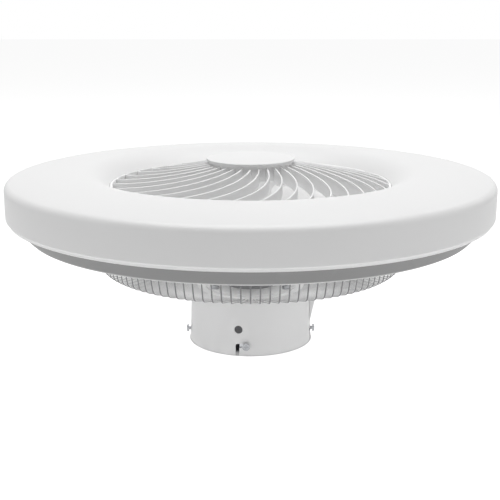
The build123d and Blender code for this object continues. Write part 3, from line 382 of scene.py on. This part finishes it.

# %% [markdown]
# ## Painted shade and two tones
# The pan is grey on its slope, which is painted shade, but white at its lip and floor; the stem's flange is
# white below the grey tube; and the guard's wires are dark lines from outside, painted shade on the faces
# that look out, while the far wires, seen from inside, are lost in white, a painted reflection of the white
# shell on the faces that look to the axis. A mask from the height, or from the side that a face looks to,
# splits the colour, so no piece has to be cut in two.

# %% Painted shade and two-tone pieces
LIP_LEVEL, FLOOR_BEND, FLOOR_LEVEL, FLANGE_LEVEL = 0.161, 0.1437, 0.1412, 0.0693
SHARP_STEP, FLANGE_STEP = 0.00005, 0.0001
INSIDE, OUTSIDE = -0.2, 0.1


def tone_by_height(material, low, high, colour):
    """Repaints a finish by its own z in metres: a mask that rises from none at low to all at high."""
    tree = material.node_tree
    shader = tree.nodes["Principled BSDF"]
    source = shader.inputs["Base Color"].links[0].from_socket
    where = tree.nodes.new("ShaderNodeTexCoord")
    split = tree.nodes.new("ShaderNodeSeparateXYZ")
    tree.links.new(where.outputs["Object"], split.inputs[0])
    mask = ramp_node(tree, split.outputs["Z"], low, high)
    tree.links.new(mix_colour(tree, mask, source, tint(colour, 1.0)), shader.inputs["Base Color"])


def paint_shade_by_side(material, colour):
    """Paints shade and reflection by side: faces that look to the axis take the given white as a painted
    reflection, faces that look away keep the darker colour as painted shade; the mask is the normal's share
    away from the axis.
    """
    tree = material.node_tree
    shader = tree.nodes["Principled BSDF"]
    source = shader.inputs["Base Color"].links[0].from_socket
    where = tree.nodes.new("ShaderNodeTexCoord")
    level = tree.nodes.new("ShaderNodeVectorMath")
    level.operation = "MULTIPLY"
    level.inputs[1].default_value = (1.0, 1.0, 0.0)
    outward = tree.nodes.new("ShaderNodeVectorMath")
    outward.operation = "NORMALIZE"
    share = tree.nodes.new("ShaderNodeVectorMath")
    share.operation = "DOT_PRODUCT"
    tree.links.new(where.outputs["Object"], level.inputs[0])
    tree.links.new(level.outputs[0], outward.inputs[0])
    tree.links.new(outward.outputs[0], share.inputs[0])
    tree.links.new(where.outputs["Normal"], share.inputs[1])
    mask = ramp_node(tree, share.outputs["Value"], INSIDE, OUTSIDE)
    tree.links.new(mix_colour(tree, mask, tint(colour, 1.0), source), shader.inputs["Base Color"])


# Painted shade and reflection on the wires: dark grey where a face looks out, white where it looks to the
# axis.
paint_shade_by_side(wire_shade_and_reflection, (0.93, 0.93, 0.93))
# The lip's band is the pan's own white, lifted a touch as a painted highlight; below the bend the floor is
# white again.
tone_by_height(pan_shaded_slope, LIP_LEVEL - SHARP_STEP, LIP_LEVEL + SHARP_STEP, (0.97, 0.97, 0.97))
tone_by_height(pan_shaded_slope, FLOOR_BEND, FLOOR_LEVEL, (0.88, 0.88, 0.88))
tone_by_height(stem_grey, FLANGE_LEVEL + FLANGE_STEP, FLANGE_LEVEL - FLANGE_STEP, (0.90, 0.90, 0.90))
print("two tones: wires, pan and stem")

# %% Finishes of the parts inside
grey_plastic = finish("grey_plastic", (0.42, 0.43, 0.44), 0.5, grain_scale=1500.0)
casting = finish("cast_aluminium", (0.62, 0.63, 0.65), 0.48, metal=1.0, grain_scale=1200.0,
                 grain_height=0.00006, mottle=0.10)
core = finish("core_steel", (0.35, 0.36, 0.38), 0.42, metal=1.0, pattern=stacked_sheets)
copper = finish("copper_wire", (0.62, 0.29, 0.13), 0.30, metal=1.0, pattern=wound_wire)
ferrite = finish("magnet", (0.07, 0.07, 0.075), 0.62, grain_scale=1800.0, mottle=0.2)
ground_steel = finish("bearing_steel", (0.74, 0.74, 0.76), 0.16, metal=1.0, mottle=0.08,
                      pattern=rubbed_lines)
board_white = finish("board", (0.84, 0.84, 0.82), 0.30, grain_scale=500.0)
phosphor = finish("led", (0.90, 0.78, 0.36), 0.35, grain_scale=2500.0, mottle=0.1)

# %% [markdown]
# ## Dress the carried-over pieces
# The record names a finish for each node. Every node takes its material from that name, so a piece that
# isn't drawn again below is still finished. The motor's lower cover and the guard's ring show white in
# the photograph, so those two are painted like the drum.

# %% Give every node its finish
BY_SLOT = {"white_steel": steel_white, "white_wire": wire_shade_and_reflection, "white_abs": abs_white, "opal_acrylic": opal,
           "zinc_steel": zinc, "motor_steel": stem_grey, "cast_aluminium": casting, "core_steel": core,
           "copper_wire": copper, "magnet": ferrite, "bearing_steel": ground_steel, "board": board_white,
           "led": phosphor, "dark_plastic": smoked, "grey_plastic": grey_plastic}
slot_of = {entry["node"]: entry["material_slot"] for entry in frame["record"]["subparts"]}
for node, piece in frame["nodes"].items():
    material = BY_SLOT[slot_of[node]]
    if piece.material_slots:
        for place in piece.material_slots:
            place.material = material
    else:
        piece.data.materials.append(material)
for node in ("motor_lower_cover", "guard_ring"):
    frame["nodes"][node].material_slots[0].material = steel_white
print("dressed", len(slot_of), "nodes")

# %% [markdown]
# ## Surfaces from arrays
# Every new piece is one array of points. Its first index counts the copies, its second runs along the
# piece and its third goes round its section. A turned piece is the same thing: it runs round the axis,
# and its section is the closed outline in radius and height. The faces come from the same indices.

# %% Mesh from an array of points
MM = 0.001
SHARP_DEGREES = 38
WIDE_STEPS, MOUTH_STEPS, HUB_STEPS = 320, 256, 160
SEAT_GAP = 0.05


def body_from_points(name, points, joined, slot, material, body, *nodes):
    """Closed tubes from points[copy, along, round]: faces join neighbours along and round.

    joined closes the run on itself, as a ring does; otherwise each end gets a flat cap. The faces are
    turned outwards by the sign of the enclosed volume.
    """
    copies, along, around = points.shape[:3]
    index = np.arange(copies * along * around).reshape(copies, along, around)
    ahead = np.roll(index, -1, axis=1)
    if not joined:
        index_a, ahead = index[:, :-1], ahead[:, :-1]
    else:
        index_a = index
    quads = np.stack([index_a, ahead, np.roll(ahead, -1, axis=2), np.roll(index_a, -1, axis=2)], axis=-1)
    quads = quads.reshape(-1, 4)
    flat = points.reshape(-1, 3)
    a, b, c, d = (flat[quads[:, k]] for k in range(4))
    volume = np.einsum("ij,ij->", a, np.cross(b, c)) + np.einsum("ij,ij->", a, np.cross(c, d))
    flip = -1 if volume < 0 else 1
    faces = quads[:, ::flip].tolist()
    if not joined:
        faces += index[:, 0, ::-flip].tolist() + index[:, -1, ::flip].tolist()
    mesh = bpy.data.meshes.new(name)
    mesh.from_pydata(flat.tolist(), [], faces)
    mesh.shade_smooth()
    mesh.set_sharp_from_angle(angle=math.radians(SHARP_DEGREES))
    mesh.materials.append(material)
    piece = bpy.data.objects.new(name, mesh)
    scene.collection.objects.link(piece)
    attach(piece, body)
    if nodes:
        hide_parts(*nodes)
    print(name, len(faces), "faces")
    return piece


def turned_points(outline, steps):
    """Points round Z: at angle t a point of the outline lies at (radius sin t, -radius cos t, height)."""
    angle = np.linspace(0.0, 2 * np.pi, steps, endpoint=False)[:, None]
    radius, height = outline[None, :, 0], outline[None, :, 1]
    ring = np.stack([radius * np.sin(angle), -radius * np.cos(angle), height + 0 * angle], axis=-1)
    return ring[None] * MM


def rounded(corners, arc_steps=7):
    """Outline with arcs: each corner is (radius, height, rounding) in millimetres.

    The arc touches both sides at the rounding times the tangent of half the turn from the corner, and
    its points are spread evenly from one side's normal to the other's.
    """
    corners = np.array(corners, dtype=float)
    pieces = []
    for here, before, after in zip(corners, np.roll(corners, 1, axis=0), np.roll(corners, -1, axis=0)):
        spot, size = here[:2], here[2]
        if size <= 0:
            pieces.append(spot[None])
            continue
        back = (before[:2] - spot) / np.linalg.norm(before[:2] - spot)
        on = (after[:2] - spot) / np.linalg.norm(after[:2] - spot)
        half = np.arccos(np.clip(back @ on, -1, 1)) / 2
        middle = spot + (back + on) / np.linalg.norm(back + on) * size / np.sin(half)
        start = spot + back * size / np.tan(half) - middle
        end = spot + on * size / np.tan(half) - middle
        share = np.linspace(0.0, 1.0, arc_steps)[:, None]
        spread = np.pi - 2 * half
        arc = (np.sin((1 - share) * spread) * start + np.sin(share * spread) * end) / np.sin(spread)
        pieces.append(middle + arc)
    return np.concatenate(pieces)


# %% [markdown]
# ## The opal shade
# The shade is one moulded ring of opal acrylic, two millimetres thick. Its face is crowned: flat towards
# the outer edge, and steeper where it falls into the mouth. Two arcs that meet level at the crest draw
# it, as in the construction. The wall below is upright and rolls into a foot on the pan's lip.

# %% Draw the shade
SHADE_RADIUS, SHADE_FOOT, SHADE_EDGE = 290.0, 164.1, 204.4
CREST_RADIUS, CREST_HEIGHT = 205.0, 212.0
MOUTH_RADIUS, MOUTH_HEIGHT = 169.0, 195.6
SHADE_WALL = 2.2
DUCT_TOP = 176.0
SPIGOT_OUTER, SPIGOT_INNER, LIP_BOTTOM = 279.5, 277.5, 161.1


def face_height(radius, inset):
    """Height of the crowned face: crest height less the sagitta of the arc on that side of the crest."""
    inner = radius < CREST_RADIUS
    run = np.where(inner, CREST_RADIUS - MOUTH_RADIUS, SHADE_RADIUS - CREST_RADIUS)
    drop = np.where(inner, CREST_HEIGHT - MOUTH_HEIGHT, CREST_HEIGHT - SHADE_EDGE)
    arc = (run ** 2 + drop ** 2) / (2 * drop)
    return CREST_HEIGHT - arc + np.sqrt((arc - inset) ** 2 - (radius - CREST_RADIUS) ** 2)


def face_run(inset, count):
    """Points of the face from beside the mouth to beside the outer edge, without rounding."""
    radius = np.linspace(MOUTH_RADIUS + inset + 4, SHADE_RADIUS - inset - 12, count)
    return [(r, h, 0.0) for r, h in zip(radius, face_height(radius, inset))]


def face_corner(radius, inset, rounding):
    """A corner on the face at a radius, to be rounded."""
    return (radius, float(face_height(np.array(radius), inset)), rounding)


shade_outline = rounded(
    [(MOUTH_RADIUS, DUCT_TOP + SEAT_GAP, 0.3), face_corner(MOUTH_RADIUS, 0.0, 1.2)]
    + face_run(0.0, 30)
    + [face_corner(SHADE_RADIUS, 0.0, 9.0), (SHADE_RADIUS, SHADE_FOOT + SEAT_GAP, 2.6),
       (SPIGOT_OUTER, SHADE_FOOT + SEAT_GAP, 0.2), (SPIGOT_OUTER, LIP_BOTTOM + 0.4, 0.3),
       (SPIGOT_INNER, LIP_BOTTOM + 0.4, 0.3), (SPIGOT_INNER, SHADE_FOOT + 3.0, 0.3),
       (SHADE_RADIUS - SHADE_WALL, SHADE_FOOT + 3.0, 0.5),
       face_corner(SHADE_RADIUS - SHADE_WALL, SHADE_WALL, 6.8)]
    + face_run(SHADE_WALL, 30)[::-1]
    + [face_corner(MOUTH_RADIUS + SHADE_WALL, SHADE_WALL, 0.4),
       (MOUTH_RADIUS + SHADE_WALL, DUCT_TOP + SEAT_GAP, 0.3)],
    arc_steps=9)
body_from_points("shade_ring", turned_points(shade_outline, WIDE_STEPS), True, "opal_acrylic", opal,
                 "housing", "light_shade")

# %% [markdown]
# ## The pan behind the light
# Below the shade's foot the pan shows three things: a thin bright lip that the foot sits on, a wall that
# slopes in by forty-five degrees, and a flat floor that the guard hangs from. Its edge is well rounded.

# %% Draw the pan
LIP_RADIUS, CONE_RADIUS, FLOOR_RADIUS, FLOOR_HEIGHT = 287.0, 283.0, 263.0, 141.0
PAN_WALL, DUCT_RADIUS = 2.2, 165.0

run_per_rise = (CONE_RADIUS - FLOOR_RADIUS) / (LIP_BOTTOM - FLOOR_HEIGHT)
slope_run = PAN_WALL * math.hypot(1.0, run_per_rise)
inner_floor = FLOOR_RADIUS - slope_run + PAN_WALL * run_per_rise
pan_outline = rounded(
    [(DUCT_RADIUS, FLOOR_HEIGHT, 0.4), (FLOOR_RADIUS, FLOOR_HEIGHT, 6.0), (CONE_RADIUS, LIP_BOTTOM, 0.5),
     (LIP_RADIUS, LIP_BOTTOM, 0.7), (LIP_RADIUS, SHADE_FOOT - SEAT_GAP, 0.5),
     (CONE_RADIUS - slope_run, SHADE_FOOT - SEAT_GAP, 0.3), (CONE_RADIUS - slope_run, LIP_BOTTOM, 0.3),
     (inner_floor, FLOOR_HEIGHT + PAN_WALL, 3.5), (DUCT_RADIUS, FLOOR_HEIGHT + PAN_WALL - SEAT_GAP, 0.4)])
body_from_points("back_pan", turned_points(pan_outline, WIDE_STEPS), True, "white_abs", pan_shaded_slope,
                 "housing", "back_shell")

# %% [markdown]
# ## The swirl grille
# Each slat is a thin upright band. In plan it is an arc of a circle that leaves the hub nearly straight
# and sweeps back as it goes out; from the side its edge follows a shallow cone from the cap down to the
# mouth. So one slat is an arc times a rounded section, and thirty-two turned copies make the swirl.

# %% Arc through three points
def arc_through(first_point, second_point, third_point, count):
    """Even points on the circle through three plan points, from the first to the third.

    The centre is where the perpendicular bisectors cross, which is a pair of linear equations.
    """
    p, q, r = (np.array(point, dtype=float) for point in (first_point, second_point, third_point))
    centre = np.linalg.solve(2 * np.array([q - p, r - p]), np.array([q @ q - p @ p, r @ r - p @ p]))
    turns = np.unwrap([math.atan2(*(point - centre)[::-1]) for point in (p, q, r)])
    angle = np.linspace(turns[0], turns[2], count)
    return centre + np.linalg.norm(p - centre) * np.stack([np.cos(angle), np.sin(angle)], axis=-1)


def polar(radius, bearing):
    """Plan point at a radius and a bearing in degrees from the front."""
    turn = math.radians(bearing)
    return (radius * math.sin(turn), -radius * math.cos(turn))


# %% Draw the slats
HUB_RADIUS, HUB_WALL, HUB_DEPTH = 50.0, 2.5, 16.0
RIM_OUTER, RIM_WALL = MOUTH_RADIUS - 0.4, 3.2
CAP_UNDERSIDE = 223.0
SLATS, SLAT_THICK, SLAT_DEPTH = 32, 2.0, 16.0
SLAT_HUB_HEIGHT = 219.5
MIDDLE_SWEEP, END_SWEEP = 16.5, 41.5


def cone_height(radius):
    """Height of the grille's cone, a straight line from the hub down to the mouth."""
    share = (MOUTH_RADIUS - radius) / (MOUTH_RADIUS - HUB_RADIUS)
    return MOUTH_HEIGHT + (SLAT_HUB_HEIGHT - MOUTH_HEIGHT) * share


slat_near, slat_far = HUB_RADIUS - HUB_WALL * 0.4, RIM_OUTER - RIM_WALL / 2
plan = arc_through(polar(slat_near, 0), polar((slat_near + slat_far) / 2, -MIDDLE_SWEEP),
                   polar(slat_far, -END_SWEEP), 48)
heading = np.gradient(plan, axis=0)
heading /= np.linalg.norm(heading, axis=1, keepdims=True)
sideways = np.stack([-heading[:, 1], heading[:, 0]], axis=-1)
half = SLAT_THICK / 2
section = rounded([(-half, 0.0, 0.85), (-half * 0.8, -SLAT_DEPTH, 0.5), (half * 0.8, -SLAT_DEPTH, 0.5),
                   (half, 0.0, 0.85)], arc_steps=4)
top = cone_height(np.linalg.norm(plan, axis=1))
flat_slat = plan[:, None, :] + sideways[:, None, :] * section[None, :, :1]
levels = np.broadcast_to(top[:, None] + section[None, :, 1], flat_slat.shape[:2])
turn = np.linspace(0.0, 2 * np.pi, SLATS, endpoint=False)[:, None, None]
slat_x = flat_slat[None, ..., 0] * np.cos(turn) - flat_slat[None, ..., 1] * np.sin(turn)
slat_y = flat_slat[None, ..., 0] * np.sin(turn) + flat_slat[None, ..., 1] * np.cos(turn)
slat_points = np.stack([slat_x, slat_y, np.broadcast_to(levels, slat_x.shape)], axis=-1) * MM
body_from_points("grille_slats", slat_points, False, "white_abs", abs_white, "housing", "front_grille")

# %% Draw the grille's rim and hub
RIM_INNER = RIM_OUTER - RIM_WALL
rim_outline = rounded(
    [(RIM_INNER, DUCT_TOP + SEAT_GAP, 0.4), (RIM_INNER, float(cone_height(RIM_INNER)), 1.0),
     (RIM_OUTER, float(cone_height(RIM_OUTER)), 1.0), (RIM_OUTER, DUCT_TOP + SEAT_GAP, 0.4)])
body_from_points("grille_rim", turned_points(rim_outline, MOUTH_STEPS), True, "white_abs", abs_white,
                 "housing", "front_grille")
hub_bottom = float(cone_height(HUB_RADIUS)) - HUB_DEPTH
HUB_EYE = 0.6
hub_outline = rounded(
    [(HUB_EYE, hub_bottom, 0.1), (HUB_RADIUS, hub_bottom, 1.5), (HUB_RADIUS, CAP_UNDERSIDE - SEAT_GAP, 0.4),
     (HUB_RADIUS - HUB_WALL, CAP_UNDERSIDE - SEAT_GAP, 0.4),
     (HUB_RADIUS - HUB_WALL, hub_bottom + HUB_WALL, 1.0),
     (HUB_EYE, hub_bottom + HUB_WALL, 0.1)])
body_from_points("grille_hub", turned_points(hub_outline, HUB_STEPS), True, "white_abs", abs_white, "housing",
                 "front_grille")

# %% [markdown]
# ## The centre cap
# A shallow dome with a rim that stands proud of the slats, so a thin shadow runs under it. A dome's pole
# must be closed, so its outline starts and ends on the axis with one point each.

# %% Draw the cap
CAP_RADIUS, CAP_RIM, CAP_RISE = 53.0, 2.2, 3.0
CAP_SPIGOT_OUTER, CAP_SPIGOT_INNER, CAP_SPIGOT_DEPTH = 47.1, 45.3, 8.0


def dome_from_outline(name, outline, steps, slot, material, body, *nodes):
    """Turned body whose outline starts and ends on the axis: both poles are one point with a fan."""
    inner = outline[1:-1]
    rings = turned_points(inner, steps)[0]
    rows = len(inner)
    poles = [[0, 0, outline[0, 1] * MM], [0, 0, outline[-1, 1] * MM]]
    points = np.concatenate([rings.reshape(-1, 3), poles])
    index = np.arange(steps * rows).reshape(steps, rows)
    onward = np.roll(index, -1, axis=0)
    quads = np.stack([index[:, :-1], index[:, 1:], onward[:, 1:], onward[:, :-1]], axis=-1).reshape(-1, 4)
    first_fan = np.stack([np.full(steps, steps * rows), index[:, 0], onward[:, 0]], axis=-1)
    last_fan = np.stack([np.full(steps, steps * rows + 1), onward[:, -1], index[:, -1]], axis=-1)
    mesh = bpy.data.meshes.new(name)
    mesh.from_pydata(points.tolist(), [], quads.tolist() + first_fan.tolist() + last_fan.tolist())
    mesh.shade_smooth()
    mesh.set_sharp_from_angle(angle=math.radians(SHARP_DEGREES))
    mesh.materials.append(material)
    piece = bpy.data.objects.new(name, mesh)
    scene.collection.objects.link(piece)
    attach(piece, body)
    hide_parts(*nodes)
    print(name, len(mesh.polygons), "faces")
    return piece


rim_top = CAP_UNDERSIDE + CAP_RIM
bulge = np.linspace(0.0, CAP_RADIUS - 2.5, 24)
dome_curve = np.stack([bulge, rim_top + CAP_RISE * (1 - (bulge / CAP_RADIUS) ** 2)], axis=-1)
spigot_bottom = CAP_UNDERSIDE - CAP_SPIGOT_DEPTH
cap_edge = rounded([(CAP_RADIUS - 2.4, rim_top + 0.27, 0.0), (CAP_RADIUS, rim_top, 0.8),
                    (CAP_RADIUS, CAP_UNDERSIDE, 0.3), (CAP_SPIGOT_OUTER, CAP_UNDERSIDE, 0.2),
                    (CAP_SPIGOT_OUTER, spigot_bottom, 0.3), (CAP_SPIGOT_INNER, spigot_bottom, 0.3),
                    (CAP_SPIGOT_INNER, rim_top - 1.0, 0.5), (CAP_SPIGOT_INNER - 4.0, rim_top - 1.0, 0.0)])
cap_outline = np.concatenate([dome_curve, cap_edge, [[0.0, rim_top - 1.0]]])
dome_from_outline("cap_dome", cap_outline, HUB_STEPS, "white_abs", cap_shaded_copy, "housing", "centre_cap")

# %% [markdown]
# ## The wire guard
# A hundred and twelve steel wires, under two millimetres thick, run out from a plate on the drum, turn
# upwards in a smooth bend and end at a ring under the pan. All wires are one array: a bent centre line,
# a ring of eight points about it, and a turn for each copy.

# %% Draw the wires
WIRES, WIRE_RADIUS, WIRE_BEND = 112, 0.8, 9.0
PLATE_TOP, RING_BOTTOM = 66.5, 139.2
WIRE_START, WIRE_CORNER, WIRE_END = (66.0, PLATE_TOP + 0.85), (182.0, 98.0), (190.0, RING_BOTTOM - 0.2)

bend = rounded([WIRE_START + (0.0,), WIRE_CORNER + (WIRE_BEND,), WIRE_END + (0.0,)], arc_steps=10)
run_direction = np.gradient(bend, axis=0)
run_direction /= np.linalg.norm(run_direction, axis=1, keepdims=True)
across = np.stack([-run_direction[:, 1], run_direction[:, 0]], axis=-1)
around = np.linspace(0.0, 2 * np.pi, 8, endpoint=False)
wire_radius = bend[:, None, 0] + WIRE_RADIUS * np.cos(around) * across[:, None, 0]
wire_height = bend[:, None, 1] + WIRE_RADIUS * np.cos(around) * across[:, None, 1]
wire_side = np.broadcast_to(WIRE_RADIUS * np.sin(around), wire_radius.shape)
turn = np.linspace(0.0, 2 * np.pi, WIRES, endpoint=False)[:, None, None]
wire_x = wire_radius * np.sin(turn) + wire_side * np.cos(turn)
wire_y = -wire_radius * np.cos(turn) + wire_side * np.sin(turn)
wire_points = np.stack([wire_x, wire_y, np.broadcast_to(wire_height, wire_x.shape)], axis=-1) * MM
body_from_points("guard_cage", wire_points, False, "white_wire", wire_shade_and_reflection, "housing", "guard_wires")

# %% [markdown]
# ## The blades
# A blade is a thin cambered plate that twists: steep at the root, flatter at the tip. Four stations give
# chord and pitch, a cubic through them gives the rest, and the tip follows the duct's circle. Inside the
# hub's edge it runs on as the flat foot that takes the two screws.

# %% Draw the blades
BLADES, FOOT_INNER, FOOT_OUTER, TIP_RADIUS = 5, 36.0, 61.0, 161.0
FOOT_WIDTH, FOOT_THICK, BLADE_THICK, CAMBER, BLADE_LEVEL = 24.0, 3.0, 2.4, 0.07, 159.0
STATIONS = (61.0, 80.0, 122.0, 163.0)
chord_curve = np.polyfit(STATIONS, (FOOT_WIDTH, 54.0, 78.0, 66.0), 3)
pitch_curve = np.polyfit(STATIONS, (0.0, 24.0, 18.0, 14.0), 3)

reach = np.concatenate([np.linspace(FOOT_INNER, FOOT_OUTER, 5)[:-1],
                        np.linspace(FOOT_OUTER, TIP_RADIUS, 36)])
on_blade = np.clip((reach - FOOT_OUTER) / 12.0, 0.0, 1.0)
chord = np.where(reach < FOOT_OUTER, FOOT_WIDTH, np.polyval(chord_curve, reach))
pitch = np.radians(np.where(reach < FOOT_OUTER, 0.0, np.polyval(pitch_curve, reach)))
rise = chord * CAMBER * on_blade
thick = FOOT_THICK + (BLADE_THICK - FOOT_THICK) * on_blade
across = np.cos(np.linspace(np.pi, 0.0, 18))
round_loop = np.concatenate([across, across[::-1]])
upper = np.concatenate([np.ones(18), -np.ones(18)])
edge_taper = np.sqrt(np.clip(1 - np.abs(round_loop) ** 14, 0.0, 1.0))
level_x = chord[:, None] / 2 * round_loop
level_z = (rise[:, None] * (1 - round_loop ** 2) - rise[:, None] / 2
           + thick[:, None] / 2 * upper * edge_taper)
blade_x = level_x * np.cos(pitch)[:, None] - level_z * np.sin(pitch)[:, None]
blade_z = level_x * np.sin(pitch)[:, None] + level_z * np.cos(pitch)[:, None] + BLADE_LEVEL
tip_share = (np.clip((reach - 130.0) / (TIP_RADIUS - 130.0), 0.0, 1.0) ** 2)[:, None]
blade_y = -(reach[:, None] - tip_share * (reach[:, None] - np.sqrt(reach[:, None] ** 2 - blade_x ** 2)))
one_blade = np.stack([blade_x, blade_y, blade_z], axis=-1) * MM
for number in range(BLADES):
    angle = 2 * np.pi * number / BLADES
    turned = np.array([[math.cos(angle), math.sin(angle), 0], [-math.sin(angle), math.cos(angle), 0],
                       [0, 0, 1]])
    body_from_points(f"fan_blade_{number + 1}", (one_blade @ turned)[None], False, "white_abs", blade_white,
                     "rotor", f"blade_{number + 1}")

# %% [markdown]
# ## Finish
# The view transform is plain, so a colour renders as written.

# %% Finish
scene.view_settings.view_transform = "Standard"
